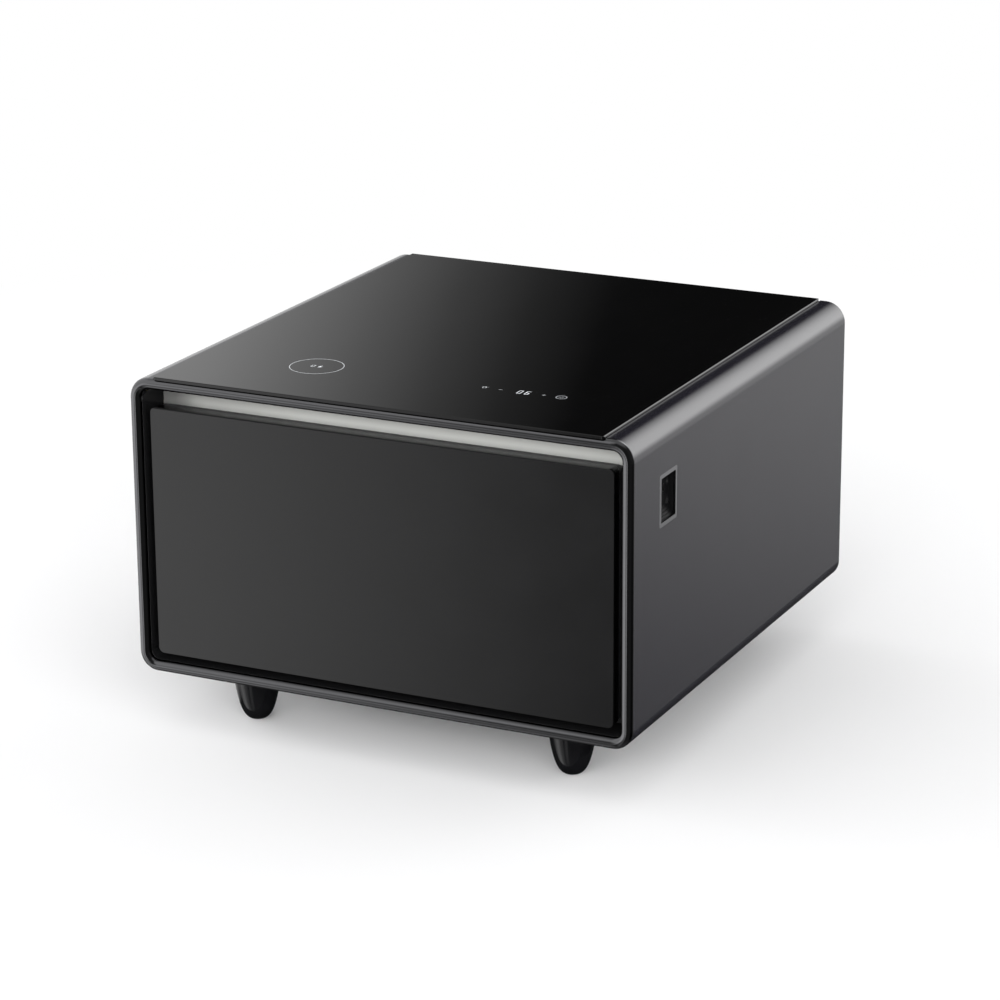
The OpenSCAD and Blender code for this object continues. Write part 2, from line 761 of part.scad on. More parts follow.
// The square shroud with its round duct and three arms that hold the motor
module fan_shroud() {
    z0 = floor_z + plate_t;
    x0 = fan_x - shroud_t / 2;
    color("#232326") {
        difference() {
            along_x(x0, x0 + 3) rounded(bay_mid_y - shroud_h / 2, z0, bay_mid_y + shroud_h / 2,
                fan_z + shroud_h / 2, 6, 6);
            rod([x0 - 1, bay_mid_y, fan_z], [x0 + 4, bay_mid_y, fan_z], fan_r + 3);
        }
        difference() {
            rod([x0, bay_mid_y, fan_z], [x0 + shroud_t, bay_mid_y, fan_z], fan_r + 5);
            rod([x0 - 1, bay_mid_y, fan_z], [x0 + shroud_t + 1, bay_mid_y, fan_z], fan_r + 3);
        }
        for (a = [90, 210, 330]) translate([0, bay_mid_y, fan_z]) rotate([a, 0, 0])
            span([x0 + shroud_t - 4, 16, -3], [x0 + shroud_t, fan_r + 4, 3]);
        difference() {
            rod([x0 + shroud_t - 4, bay_mid_y, fan_z], [x0 + shroud_t, bay_mid_y, fan_z], 20);
            rod([x0 + shroud_t - 5, bay_mid_y, fan_z], [x0 + shroud_t + 1, bay_mid_y, fan_z],
                15.3);
        }
    }
}

motor_r = 15;

// The fan's motor and its fixed shaft
module fan_motor() {
    x1 = fan_x + shroud_t / 2;
    color("#3a3a3d") {
        rod([x1 - 3, bay_mid_y, fan_z], [x1 + 22, bay_mid_y, fan_z], motor_r);
        rod([x1 - 4, bay_mid_y, fan_z], [x1 - 3, bay_mid_y, fan_z], 6);
        rod([x1 - 20, bay_mid_y, fan_z], [x1 - 3, bay_mid_y, fan_z], shaft_r);
        rod([x1 + 2, bay_mid_y, fan_z], [x1 + 3.5, bay_mid_y, fan_z], motor_r + 3.5);
    }
}

shaft_r = 2;

// A thin arc band, for the section of a blade
module arc_band(r, t, a0, a1) {
    steps = 10;
    polygon(concat([for (i = [0:steps]) let (a = a0 + (a1 - a0) * i / steps)
        (r - t / 2) * [cos(a), sin(a)]], [for (i = [steps:-1:0])
        let (a = a0 + (a1 - a0) * i / steps) (r + t / 2) * [cos(a), sin(a)]]));
}

// One blade's outline seen along the shaft: two arcs that sweep back to a round tip
module blade_plan() {
    intersection() {
        circle(fan_r);
        difference() {
            translate([fan_r * 0.62, -fan_r * 0.34]) circle(fan_r * 0.62);
            translate([fan_r * 0.44, -fan_r * 1.02]) circle(fan_r * 0.7);
        }
    }
}

// The rotor: a cup hub with a bore, and cambered, swept blades
module fan_rotor() {
    x1 = fan_x + shroud_t / 2;
    camber_r = 30;
    color("#2f3033") translate([x1 - 5.5, bay_mid_y, fan_z]) rotate([0, -90, 0]) {
        difference() {
            union() {
                cylinder(r = fan_hub_r, h = 14);
                translate([0, 0, 14]) cylinder(r1 = fan_hub_r, r2 = fan_hub_r - 3, h = 2);
            }
            translate([0, 0, -1]) cylinder(r = shaft_r + 0.05, h = 16);
            translate([0, 0, -1]) difference() {
                cylinder(r = fan_hub_r - 2, h = 10);
                cylinder(r = shaft_r + 3, h = 10);
            }
        }
        for (i = [0:fan_blades - 1]) rotate([0, 0, i * 360 / fan_blades]) intersection() {
            translate([fan_hub_r - 1, 0, 0]) rotate([90, 0, 90]) linear_extrude(fan_r)
                translate([-16, -18]) arc_band(camber_r, 1.4, 36, 92);
            translate([0, 0, 0.5]) linear_extrude(13) difference() {
                blade_plan();
                circle(fan_hub_r - 1);
            }
        }
    }
}

module discharge_pipe() {
    y0 = bay_mid_y - 18;
    z0 = suction_z - 40;
    z1 = cond_row_z(cond_rows - 1);
    s = cond_rows % 2 == 0 ? 1 : -1;
    end_y = bay_mid_y + s * (cond_hy + 2.3);
    over_z = z1 + 30;
    x0 = comp_x + comp_r + 6.3;
    color("#b5643c") pipe([[x0, y0, z0], [x0 + 26, y0, z0], [x0 + 26, y0, over_z],
        [cond_x, y0, over_z], [cond_x, end_y + s * 13, over_z], [cond_x, end_y + s * 13, z1],
        [cond_x, end_y, z1]], pipe_r, 9);
}

module suction_pipe() {
    y1 = bay_mid_y + 18;
    color("#b5643c") pipe([[evap_x, liner_rear_y, evap_port_z], [evap_x, y1, evap_port_z],
        [evap_x, y1, suction_z], [comp_x + comp_r + 6.3, y1, suction_z]], pipe_r, 10);
}

dryer_x = 30;
dryer_z = floor_z + 60;
line_y = panel_y - 12;

// The dryer: a copper barrel with necked ends
module filter_dryer() {
    color("#c07a4b") translate([dryer_x, line_y, dryer_z]) rotate_extrude() {
        square([9, 60]);
        polygon([[0, 59], [9, 60], [3, 72], [3, 80], [0, 80]]);
        polygon([[0, 1], [9, 0], [2, -10], [2, -18], [0, -18]]);
    }
}

// The line from the condenser to the dryer, and the fine tube on to the cold plate
module capillary_tube() {
    top_z = dryer_z + 100;
    low_z = dryer_z - 30;
    color("#b5643c") {
        pipe([[dryer_x, line_y, dryer_z - 18.2], [dryer_x, line_y, low_z],
            [capillary_x, line_y, low_z], [capillary_x, line_y, evap_port_z],
            [capillary_x, evap_y + evap_t + 0.2, evap_port_z]], 1, 6);
        pipe([[cond_x, bay_mid_y + cond_hy + 2.3, cond_z], [cond_x, line_y, cond_z],
            [cond_x - 30, line_y, cond_z], [cond_x - 30, line_y, top_z],
            [dryer_x, line_y, top_z], [dryer_x, line_y, dryer_z + 80.2]], 2, 5);
    }
}

module drain_tray() {
    z0 = floor_z + plate_t;
    x0 = -72;
    x1 = 62;
    y0 = bay_y + 14;
    y1 = y0 + 74;
    color("#3a3a3d") difference() {
        span([x0, y0, z0], [x1, y1, z0 + 22]);
        span([x0 + 2, y0 + 2, z0 + 2], [x1 - 2, y1 - 2, z0 + 30]);
    }
}

// The drain: a flanged spout in the liner's rear wall that turns down over the tray
module drain_tube() {
    y1 = bay_y + 34;
    z1 = floor_z + plate_t + 26;
    color("#d8d8d8") {
        difference() {
            pipe([[drain_x, liner_rear_y - 0.8, drain_z], [drain_x, y1, drain_z],
                [drain_x, y1, z1]], 5.7, 9);
            pipe([[drain_x, liner_rear_y - 2, drain_z], [drain_x, y1, drain_z],
                [drain_x, y1, z1 - 1]], 4, 9);
        }
    }
}

control_x0 = comp_x - 80;

// The main board, with its relay, transformer, capacitors and connectors
module control_board() {
    z1 = z_top - 34;
    y = bay_y + 8;
    color("#1f4d33") {
        span([control_x0 + 8, y, z1 - 84], [control_x0 + 152, y + 1.6, z1]);
        span([control_x0 + 20, y + 1.6, z1 - 40], [control_x0 + 56, y + 24, z1 - 8]);
        span([control_x0 + 70, y + 1.6, z1 - 30], [control_x0 + 90, y + 18, z1 - 12]);
        for (i = [0:2]) rod([control_x0 + 108 + i * 16, y + 1.6, z1 - 20],
            [control_x0 + 108 + i * 16, y + 22, z1 - 20], 6);
        for (i = [0:3]) span([control_x0 + 20 + i * 32, y + 1.6, z1 - 80],
            [control_x0 + 42 + i * 32, y + 11, z1 - 70]);
    }
}

// The box round the board: a tray on the partition with a vented lid
module control_box() {
    z1 = z_top - 28;
    y0 = bay_y + 0.3;
    y1 = y0 + 40;
    color("#d0d2d4") difference() {
        span([control_x0, y0, z1 - 96], [control_x0 + 160, y1, z1]);
        difference() {
            span([control_x0 + 2, y0 + 2, z1 - 94], [control_x0 + 158, y1 - 2, z1 - 2]);
            for (x = [control_x0 + 12, control_x0 + 148], z = [z1 - 86, z1 - 10])
                rod([x, y0, z], [x, bay_y + 8, z], 3);
        }
        for (i = [0:7]) span([control_x0 + 30 + i * 14, y1 - 4, z1 - 70],
            [control_x0 + 33 + i * 14, y1 + 1, z1 - 26]);
    }
}

inlet_w = 28;
inlet_h = 20;

// The three-pin power inlet, set in the back panel
module power_inlet() {
    y1 = panel_y + 1.2;
    cavity_d = 17;
    color("#1b1b1d") {
        difference() {
            union() {
                along_y(y1 - 24, y1) translate([inlet_x - inlet_w / 2, inlet_z - inlet_h / 2])
                    square([inlet_w, inlet_h]);
                along_y(y1, y1 + 2.5) rounded(inlet_x - inlet_w / 2 - 4,
                    inlet_z - inlet_h / 2 - 4, inlet_x + inlet_w / 2 + 4,
                    inlet_z + inlet_h / 2 + 4, 3, 3);
            }
            along_y(y1 + 2.5 - cavity_d, y1 + 3) polygon([for (p = [[-12, -8], [12, -8], [12, 4],
                [8, 8], [-8, 8], [-12, 4]]) [inlet_x + p[0], inlet_z + p[1]]]);
        }
        for (p = [[-7, -2], [0, 2], [7, -2]])
            span([inlet_x + p[0] - 1, y1 - 16, inlet_z + p[1] - 2],
                [inlet_x + p[0] + 1, y1 - 1, inlet_z + p[1] + 2]);
    }
}

louvre_pitch = 14;
louvre_z0 = z_base + (body_h - (louvres - 1) * louvre_pitch) / 2;
panel_hw = body_w / 2 - inside_t;
panel_flange = 12;

// One pressed louvre: a sloping hood over a slot, seen in Y and Z
module louvre(x) {
    along_x(x, x + louvre_w)
        polygon([[0, 6], [0.8, 6], [5, 0], [5, -1.2], [3.8, -1.2], [0, 4.2]]);
}

// The back panel: sheet with turned edges and three columns of louvres
module back_panel() {
    columns = [-panel_hw + 46, -louvre_w / 2, panel_hw - 46 - louvre_w];
    color("#2a2b2d") difference() {
        union() {
            along_y(panel_y, panel_y + 1.2) casing_outline(inside_t);
            along_y(panel_y - panel_flange, panel_y) difference() {
                casing_outline(inside_t);
                casing_outline(inside_t + 1.2);
            }
            for (x = columns, i = [0:louvres - 1])
                translate([0, panel_y + 1.2, louvre_z0 + i * louvre_pitch]) louvre(x);
        }
        for (x = columns, i = [0:louvres - 1])
            translate([0, panel_y, louvre_z0 + i * louvre_pitch]) span([x + 1, -1, -1],
                [x + louvre_w - 1, 1.3, 2.4]);
        along_y(panel_y - 1, panel_y + 3) translate([inlet_x - inlet_w / 2 - fit_gap,
            inlet_z - inlet_h / 2 - fit_gap])
            square([inlet_w + 2 * fit_gap, inlet_h + 2 * fit_gap]);
        for (p = panel_screw_at) rod([p[0], panel_y - 2, p[1]], [p[0], panel_y + 3, p[1]], 2.2);
    }
}

panel_screw_at = [for (x = [-panel_hw + 14, 0, panel_hw - 14], z = [z_base + 18, z_top - 18])
    [x, z]];

// Pan-head screws that hold the back panel
module back_panel_screws() {
    color("#8a8c90") for (p = panel_screw_at) translate([p[0], panel_y + 1.25, p[1]])
        rotate([-90, 0, 0]) difference() {
            union() {
                cylinder(r = 4, h = 1.6);
                translate([0, 0, 1.6]) cylinder(r1 = 4, r2 = 2.8, h = 0.8);
                translate([0, 0, -8]) cylinder(r = 2, h = 9);
            }
            for (a = [0, 90]) rotate([0, 0, a]) translate([-2.4, -0.5, 1.2]) cube([4.8, 1, 2]);
        }
}

// ---- Feet ----

stud_r = 4;
stud_len = 16;
nut_r = 7.4;

// The bullet curve of a foot: radius at a share t of its height
function foot_curve(t) = foot_r * pow(1 - pow(1 - t, 1.2), 1 / 3.5);

// A turned foot with a flat end and a blind hole for its stud
module foot(fx, fy) {
    t0 = 1 - pow(1 - pow(foot_tip_r / foot_r, 3.5), 1 / 1.2);
    steps = 30;
    color("#111112") translate([fx * feet_x, casing_mid_y + fy * feet_y, 0]) difference() {
        rotate_extrude() polygon(concat([[0, 0]],
            [for (i = [0:steps]) let (t = t0 + (1 - t0) * pow(i / steps, 1.8))
                [foot_curve(t), foot_h * (t - t0) / (1 - t0)]],
            [[0, foot_h]]));
        translate([0, 0, foot_h - stud_len + 4]) cylinder(r = stud_r + 0.05, h = stud_len);
    }
}

// Studs and nuts that hold the feet to the casing
module foot_studs() {
    color("#9a9ca0") for (f = feet)
        translate([f[0] * feet_x, casing_mid_y + f[1] * feet_y, foot_h]) {
            translate([0, 0, 4.2 - stud_len]) cylinder(r = stud_r, h = stud_len + 4);
            translate([0, 0, casing_t + 0.2]) cylinder(r = nut_r, h = 6, $fn = 6);
        }
}

// ---- Side sockets ----

socket_depth = 30;

// The flush bezel, with a rim that slopes into the recess
module socket_bezel() {
    x1 = side_x - 0.2;
    color("#6a6b6e") difference() {
        along_x(x1 - 3, x1) socket_outline(0);
        along_x(x1 - 4, x1 + 1) rounded(socket_y - recess_w / 2, socket_z - recess_h / 2,
            socket_y + recess_w / 2, socket_z + recess_h / 2, 1.5, 1.5);
    }
}

// The dark tub behind the bezel: a flat floor with two slots, and a ribbed ramp below
module socket_insert() {
    x1 = side_x - 3.4;
    floor_x = side_x - recess_d;
    hw = recess_w / 2;
    hh = recess_h / 2;
    ramp = 13;
    color("#151517") difference() {
        along_x(side_x - socket_depth, x1) rounded(socket_y - hw - 2.5, socket_z - hh - 2.5,
            socket_y + hw + 2.5, socket_z + hh + 2.5, 3, 3);
        difference() {
            along_x(floor_x, x1 + 1) rounded(socket_y - hw, socket_z - hh,
                socket_y + hw, socket_z + hh, 1.5, 1.5);
            along_y(socket_y - hw - 1, socket_y + hw + 1)
                polygon([[floor_x - 1, socket_z - hh - 1], [x1 - 0.5, socket_z - hh - 1],
                    [x1 - 0.5, socket_z - hh + 0.8], [floor_x, socket_z - hh + ramp],
                    [floor_x - 1, socket_z - hh + ramp]]);
            for (i = [0:2]) along_y(socket_y - hw + 4, socket_y + hw - 4) translate(
                [floor_x + 1.4 + i * 1.5, socket_z - hh + ramp - 2.4 - i * 3.7]) circle(0.7);
        }
        along_x(side_x - socket_depth - 1, floor_x - 4) rounded(socket_y - hw + 1,
            socket_z - hh + 1, socket_y + hw - 1, socket_z + hh - 1, 1, 1);
        for (s = socket_slots) along_x(floor_x - 6, floor_x + 1)
            rounded(s[0] - s[2] / 2 - 0.2, s[1] - s[3] / 2 - 0.2, s[0] + s[2] / 2 + 0.2,
                s[1] + s[3] / 2 + 0.2, s[4], s[4]);
    }
}

// The two sockets: middle in Y, middle in Z, width, height, corner radius
socket_slots = [[socket_y - 10, socket_z + 8, 6.6, 14.6, 0.6],
    [socket_y + 6, socket_z + 8, 4.2, 10.2, 2.05]];

// Metal shells with their contact tongues
module usb_sockets() {
    floor_x = side_x - recess_d;
    color("#c8cacd") for (s = socket_slots) {
        difference() {
            along_x(floor_x - 16, floor_x - 0.3) rounded(s[0] - s[2] / 2, s[1] - s[3] / 2,
                s[0] + s[2] / 2, s[1] + s[3] / 2, s[4], s[4]);
            along_x(floor_x - 14, floor_x + 1) rounded(s[0] - s[2] / 2 + 0.6,
                s[1] - s[3] / 2 + 0.6, s[0] + s[2] / 2 - 0.6, s[1] + s[3] / 2 - 0.6,
                max(0.2, s[4] - 0.6), max(0.2, s[4] - 0.6));
        }
        span([floor_x - 15, s[0] - 0.7, s[1] - s[3] / 2 + 1.6],
            [floor_x - 3, s[0] + 0.7, s[1] + s[3] / 2 - 1.6]);
    }
}

module socket_board() {
    x0 = side_x - recess_d - 17.8;
    color("#1f4d33") {
        span([x0, socket_y - recess_w / 2 + 2, socket_z - recess_h / 2 + 2],
            [x0 + 1.6, socket_y + recess_w / 2 - 2, socket_z + recess_h / 2 - 2]);
        span([x0 + 1.6, socket_y - 14, socket_z - 20], [x0 + 6, socket_y + 4, socket_z - 8]);
    }
}

// ---- Runners ----
// Sections are drawn for the right side. Their X is the distance from the liner's wall
// towards the middle, and their Y is the height from the runner's middle line.

module runner_body(y0, y1, side) {
    on_side(side) translate([liner_hw, 0, runner_z]) mirror([1, 0, 0]) along_y(y0, y1) children();
}

// The fixed member: a web on the wall, two arms and turned lips
module outer_section() {
    h = runner_h / 2;
    lip_x = runner_w - 1.7;
    polygon([[0, -h], [lip_x, -h], [lip_x, -h + 3.6], [lip_x - runner_t, -h + 3.6],
        [lip_x - runner_t, -h + runner_t], [runner_t, -h + runner_t], [runner_t, h - runner_t],
        [lip_x - runner_t, h - runner_t], [lip_x - runner_t, h - 3.6], [lip_x, h - 3.6],
        [lip_x, h], [0, h]]);
}

// The middle member: a channel between the two ball races
module middle_section() {
    x0 = runner_t + 1.6;
    x1 = x0 + 6;
    polygon([[x0, -race], [x1, -race], [x1, -race + runner_t], [x0 + runner_t,
        -race + runner_t], [x0 + runner_t, race - runner_t], [x1, race - runner_t],
        [x1, race], [x0, race]]);
}

inner_race = race - runner_t - 2 * ball_r - 0.6;

// The drawer's member: a channel that opens towards the wall
module inner_section() {
    x0 = runner_t + 4.2;
    polygon([[x0, -inner_race], [runner_w, -inner_race], [runner_w, inner_race],
        [x0, inner_race], [x0, inner_race - runner_t], [runner_w - runner_t,
        inner_race - runner_t], [runner_w - runner_t, runner_t - inner_race],
        [x0, runner_t - inner_race]]);
}

module runner_outer(side) {
    color("#b9bcc0") difference() {
        runner_body(runner_y0, runner_y1, side) outer_section();
        for (y = [runner_y0 + 40, (runner_y0 + runner_y1) / 2, runner_y1 - 40])
            rod([side * (liner_hw - 3), y, runner_z], [side * (liner_hw + 1), y, runner_z], 2.2);
    }
}

// A row of balls in a thin cage strip
module ball_row(y0, count, x, z) {
    pitch = 11;
    for (i = [0:count - 1]) translate([x, y0 + 6 + i * pitch, z]) sphere(ball_r, $fn = 24);
    span([x - 2.2, y0, z - 0.4], [x + 2.2, y0 + 12 + (count - 1) * pitch, z + 0.4]);
}

module runner_middle(side) {
    balls = 8;
    outer_x = runner_t + 1.6 + 3;
    inner_x = runner_t + 6;
    outer_z = race + ball_r + 0.3;
    inner_z = inner_race + ball_r + 0.3;
    color("#a4a7ab") {
        runner_body(runner_y0 + 1, runner_y1 - 1, side) middle_section();
        on_side(side) translate([liner_hw, 0, runner_z]) for (s = [-1, 1]) {
            ball_row(runner_y1 - 100, balls, -outer_x, s * outer_z);
            ball_row(runner_y0 + 6, balls, -inner_x, s * inner_z);
        }
    }
}

module runner_inner(side) {
    color("#b9bcc0") difference() {
        runner_body(runner_y0 + 2, runner_y1 - 2, side) inner_section();
        for (y = runner_screw_y) rod([side * (carrier_hw - 1), y, runner_z],
            [side * (carrier_hw + runner_t + 1), y, runner_z], 2.2);
    }
}

runner_screw_y = [runner_y0 + 60, runner_y1 - 60];

// ---- Drawer ----

module door_outline(inset) {
    rounded(-door_hw + inset, door_z0 + inset, door_hw - inset, door_z1 - inset,
        max(1, door_r - inset), max(1, door_r - inset));
}

module drawer_glass() {
    color("#1d1d1f") along_y(y_edge, y_edge + door_glass_t) door_outline(0);
}

// The edge frame behind the glass
module drawer_frame() {
    color("#4a4b4e") {
        along_y(door_frame_y, door_pan_y) difference() {
            door_outline(0.6);
            door_outline(0.6 + door_wall_t);
        }
        along_y(door_frame_y, door_frame_y + 1.5) difference() {
            door_outline(0.6 + door_wall_t - 0.01);
            door_outline(16);
        }
    }
}

// The foam core of the drawer front
module drawer_foam() {
    inset = 0.6 + door_wall_t + fit_gap;
    color("#e9dfae") difference() {
        union() {
            along_y(door_frame_y + 1.5 + fit_gap, door_pan_y - fit_gap) door_outline(inset);
            along_y(door_pan_y - fit_gap - 1, door_back_y - door_wall_t - fit_gap)
                door_outline(inset + 2.2);
        }
        for (p = door_screw_at) rod([p[0], door_back_y - 7, p[1]], [p[0], door_back_y, p[1]], 3);
    }
}

gasket_in = 20;
gasket_base = 10;

// The back pan: a shallow moulded tray with a groove that holds the seal
module drawer_pan() {
    color("#1c1c1e") difference() {
        along_y(door_pan_y, door_back_y) door_outline(1.6);
        along_y(door_pan_y - 1, door_back_y - door_wall_t) door_outline(1.6 + door_wall_t);
        gasket_line() translate([-1.5, -1]) square([3, 2.3]);
        for (p = door_screw_at) rod([p[0], door_back_y - 4, p[1]], [p[0], door_back_y + 1, p[1]],
            2.2);
    }
}

// The seal's section: a dart in the groove, a folded bellows and a hollow bulb
module gasket_section() {
    d = mouth_y - door_back_y;
    tip = d - fit_gap;
    half = gasket_base / 2;
    translate([-1.2, -0.3]) square([2.4, 1.2]);
    difference() {
        union() {
            polygon([[-half, -0.2], [half, -0.2], [half, -1.8], [2.2, -d * 0.42],
                [half + 1, -tip + 5.2], [half + 1, -tip], [-half - 1, -tip],
                [-half - 1, -tip + 5.2], [-2.2, -d * 0.42], [-half, -1.8]]);
        }
        translate([-half + 0.4, -tip + 1.1]) square([2 * half - 0.8, 2.6]);
    }
}

// Carries a section round the line of the seal, on the back of the drawer front
module gasket_line() {
    in = gasket_in;
    translate([0, door_back_y, 0])
        ring_sweep(door_hw - in, door_z0 + in, door_z1 - in, 8, 8) children();
}

module drawer_gasket() {
    color("#242426") gasket_line() gasket_section();
}

tab_w = 42;
carrier_z0 = runner_z - 26;
carrier_y0 = door_back_y + 0.3;
carrier_y1 = bin_y1 + 3 + carrier_t;
door_screw_at = [for (s = [-1, 1], z = [carrier_z0 + 12, carrier_z1 - 12])
    [s * (carrier_hw - tab_w + 10), z]];

// The carrier: folded sides that ride on the runners, front tabs and a rear cross piece
module drawer_carrier() {
    color("#c2c5c8") difference() {
        union() {
            both_sides() {
                span([carrier_hw - carrier_t, carrier_y0, carrier_z0],
                    [carrier_hw, carrier_y1, carrier_z1]);
                span([carrier_hw - tab_w, carrier_y0, carrier_z0],
                    [carrier_hw, carrier_y0 + carrier_t, carrier_z1]);
            }
            span([-carrier_hw, carrier_y1 - carrier_t, carrier_z1 - 40],
                [carrier_hw, carrier_y1, carrier_z1]);
        }
        for (s = [-1, 1], y = runner_screw_y) rod([s * (carrier_hw - 3), y, runner_z],
            [s * (carrier_hw + 1), y, runner_z], 2.2);
        for (p = door_screw_at) rod([p[0], carrier_y0 - 1, p[1]], [p[0], carrier_y0 + 4, p[1]],
            2.2);
    }
}

// Screws that join the carrier to the drawer front and to the runners
module drawer_screws() {
    color("#8a8c90") {
        for (p = door_screw_at) {
            rod([p[0], door_back_y - 6, p[1]], [p[0], carrier_y0 + carrier_t + 0.2, p[1]], 2);
            rod([p[0], carrier_y0 + carrier_t + 0.1, p[1]],
                [p[0], carrier_y0 + carrier_t + 2.1, p[1]], 3.6);
        }
        for (s = [-1, 1], y = runner_screw_y) {
            rod([s * (carrier_hw - carrier_t - 0.2), y, runner_z],
                [s * (carrier_hw + runner_t + 1), y, runner_z], 2);
            rod([s * (carrier_hw - carrier_t - 1.7), y, runner_z],
                [s * (carrier_hw - carrier_t - 0.1), y, runner_z], 3.6);
        }
    }
}

// The bin's outline in X and Y, drawn in by a distance
module bin_plan(inset) {
    rounded(-bin_hw + inset, bin_y0 + inset, bin_hw - inset, bin_y1 - inset,
        bin_r - inset, bin_r - inset);
}

// The moulded bin: round corners, a rim that hangs on the carrier, floor ribs and guides
module drawer_bin() {
    rim = carrier_hw - bin_hw + 2.4;
    color("#dfe2e5") {
        difference() {
            union() {
                along_z(bin_z0, bin_z1) bin_plan(0);
                along_z(bin_z1 - rim_t, bin_z1) intersection() {
                    bin_plan(-rim);
                    translate([-body_w, bin_y0 - 2]) square([2 * body_w, body_d]);
                }
                both_sides() span([bin_hw + rim - 2, bin_y0 + 30, bin_z1 - 9],
                    [bin_hw + rim, bin_y1 - 30, bin_z1 - rim_t + 0.1]);
            }
            along_z(bin_z0 + bin_t, bin_z1 + 1) bin_plan(bin_t);
        }
        for (i = [-6:6]) translate([i * bin_hw / 7.4, 0, 0])
            span([-1.5, bin_y0 + 30, bin_z0 + bin_t - 0.1], [1.5, bin_y1 - 30, bin_z0 + bin_t + 1.6]);
        for (y = [bin_y0 + bin_t, bin_y1 - bin_t], s = [-1, 1])
            span([divider_x + s * 4 - 1.2, y - 4, bin_z0 + bin_t - 0.1],
                [divider_x + s * 4 + 1.2, y + 4, bin_z1 - 24]);
    }
}

// The divider plate, with a rounded upper edge and a window
module bin_divider() {
    y0 = bin_y0 + bin_t + 0.5;
    y1 = bin_y1 - bin_t - 0.5;
    z0 = bin_z0 + bin_t + 2;
    z1 = bin_z1 - 18;
    color("#9fb2bd") difference() {
        along_x(divider_x - 1.5, divider_x + 1.5) rounded(y0, z0, y1, z1, 14, 3);
        along_x(divider_x - 3, divider_x + 3) rounded((y0 + y1) / 2 - 45, z1 - 34,
            (y0 + y1) / 2 + 45, z1 - 12, 11, 11);
    }
}

outer_casing();
front_frame();
top_glass();
glass_seal();
electronics_tray();
charging_coil();
charger_board();
touch_board();
light_diffuser();
light_housing();
led_strip();
mouth_frame();
liner();
insulation();
evaporator_plate();
bay_partition();
base_plate();
compressor();
compressor_grommets();
start_relay();
condenser_tube();
condenser_fins();
fan_shroud();
fan_motor();
fan_rotor();
discharge_pipe();
suction_pipe();
filter_dryer();
capillary_tube();
drain_tray();
drain_tube();
control_board();
control_box();
power_inlet();
back_panel();
back_panel_screws();
foot(-1, -1);  // foot_front_left
foot(1, -1);  // foot_front_right
foot(-1, 1);  // foot_rear_left
foot(1, 1);  // foot_rear_right
foot_studs();
socket_bezel();
socket_insert();
usb_sockets();
socket_board();
runner_outer(-1);  // runner_outer_left
runner_outer(1);  // runner_outer_right
runner_middle(-1);  // runner_middle_left
runner_middle(1);  // runner_middle_right
runner_inner(-1);  // runner_inner_left
runner_inner(1);  // runner_inner_right
drawer_glass();
drawer_frame();
drawer_foam();
drawer_pan();
drawer_gasket();
drawer_carrier();
drawer_screws();
drawer_bin();
bin_divider();
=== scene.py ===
"""Looks of a refrigerator nightstand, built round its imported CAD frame."""

import math

import bmesh
import bpy
from bpy.props import FloatProperty, FloatVectorProperty, IntProperty, PointerProperty
from bpy.types import Operator, Panel, PropertyGroup
from mathutils import Matrix, Vector


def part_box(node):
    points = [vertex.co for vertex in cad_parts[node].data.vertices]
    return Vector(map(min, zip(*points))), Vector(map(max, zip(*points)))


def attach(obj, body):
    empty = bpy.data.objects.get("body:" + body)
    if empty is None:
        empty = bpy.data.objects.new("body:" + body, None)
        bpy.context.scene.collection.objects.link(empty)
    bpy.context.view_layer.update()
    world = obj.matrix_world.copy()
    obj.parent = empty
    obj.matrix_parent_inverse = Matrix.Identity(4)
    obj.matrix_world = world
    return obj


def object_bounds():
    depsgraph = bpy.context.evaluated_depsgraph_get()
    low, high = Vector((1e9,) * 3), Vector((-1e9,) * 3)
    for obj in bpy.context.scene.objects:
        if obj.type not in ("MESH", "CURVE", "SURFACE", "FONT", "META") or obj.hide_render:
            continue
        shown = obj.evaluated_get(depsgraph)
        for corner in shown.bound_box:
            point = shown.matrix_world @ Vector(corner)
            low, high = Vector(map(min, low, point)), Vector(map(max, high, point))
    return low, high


bl_info = {
    "name": "Refrigerator Nightstand",
    "version": (1, 0, 0),
    "blender": (4, 5, 0),
    "location": "3D View > Sidebar > Nightstand",
    "description": "Finishes, lit marks and stage for a bedside table with a refrigerated drawer",
    "category": "Object",
}

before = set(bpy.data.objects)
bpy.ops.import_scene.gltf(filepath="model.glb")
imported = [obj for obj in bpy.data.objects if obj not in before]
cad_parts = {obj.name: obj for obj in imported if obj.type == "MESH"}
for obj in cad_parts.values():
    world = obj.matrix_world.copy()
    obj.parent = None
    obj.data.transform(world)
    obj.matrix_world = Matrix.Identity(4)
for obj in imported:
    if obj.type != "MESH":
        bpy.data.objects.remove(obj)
CAD_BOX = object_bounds()

MM = 0.001
GLASS_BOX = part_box("top_glass")
COIL_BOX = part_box("charging_coil")

# Refraction of the clear and lacquered materials
PAINT_IOR = 1.6
GLASS_IOR = 1.5
PLASTIC_IOR = 1.49

# Colours of the finishes that have no setting of their own
LINING_TONE = (0.009, 0.009, 0.0095)
TAPE_TONE = (0.015, 0.015, 0.016)
HOUSING_TONE = (0.6, 0.6, 0.58)
LAMP_STRIP_TONE = (0.7, 0.68, 0.5)
LAMP_GLOW_TONE = (0.98, 1.0, 0.95)
MOUTH_TONE = (0.025, 0.025, 0.026)
FOAM_TONE = (0.72, 0.6, 0.33)
COLD_PLATE_TONE = (0.68, 0.69, 0.71)
FIN_TONE = (0.66, 0.67, 0.69)
TRAY_TONE = (0.03, 0.03, 0.032)
SEAL_TONE = (0.02, 0.02, 0.021)
GROMMET_TONE = (0.02, 0.02, 0.02)
FRONT_SCREW_TONE = (0.55, 0.56, 0.58)
BACK_SCREW_TONE = (0.12, 0.12, 0.125)
DIVIDER_TONE = (0.86, 0.93, 0.95)
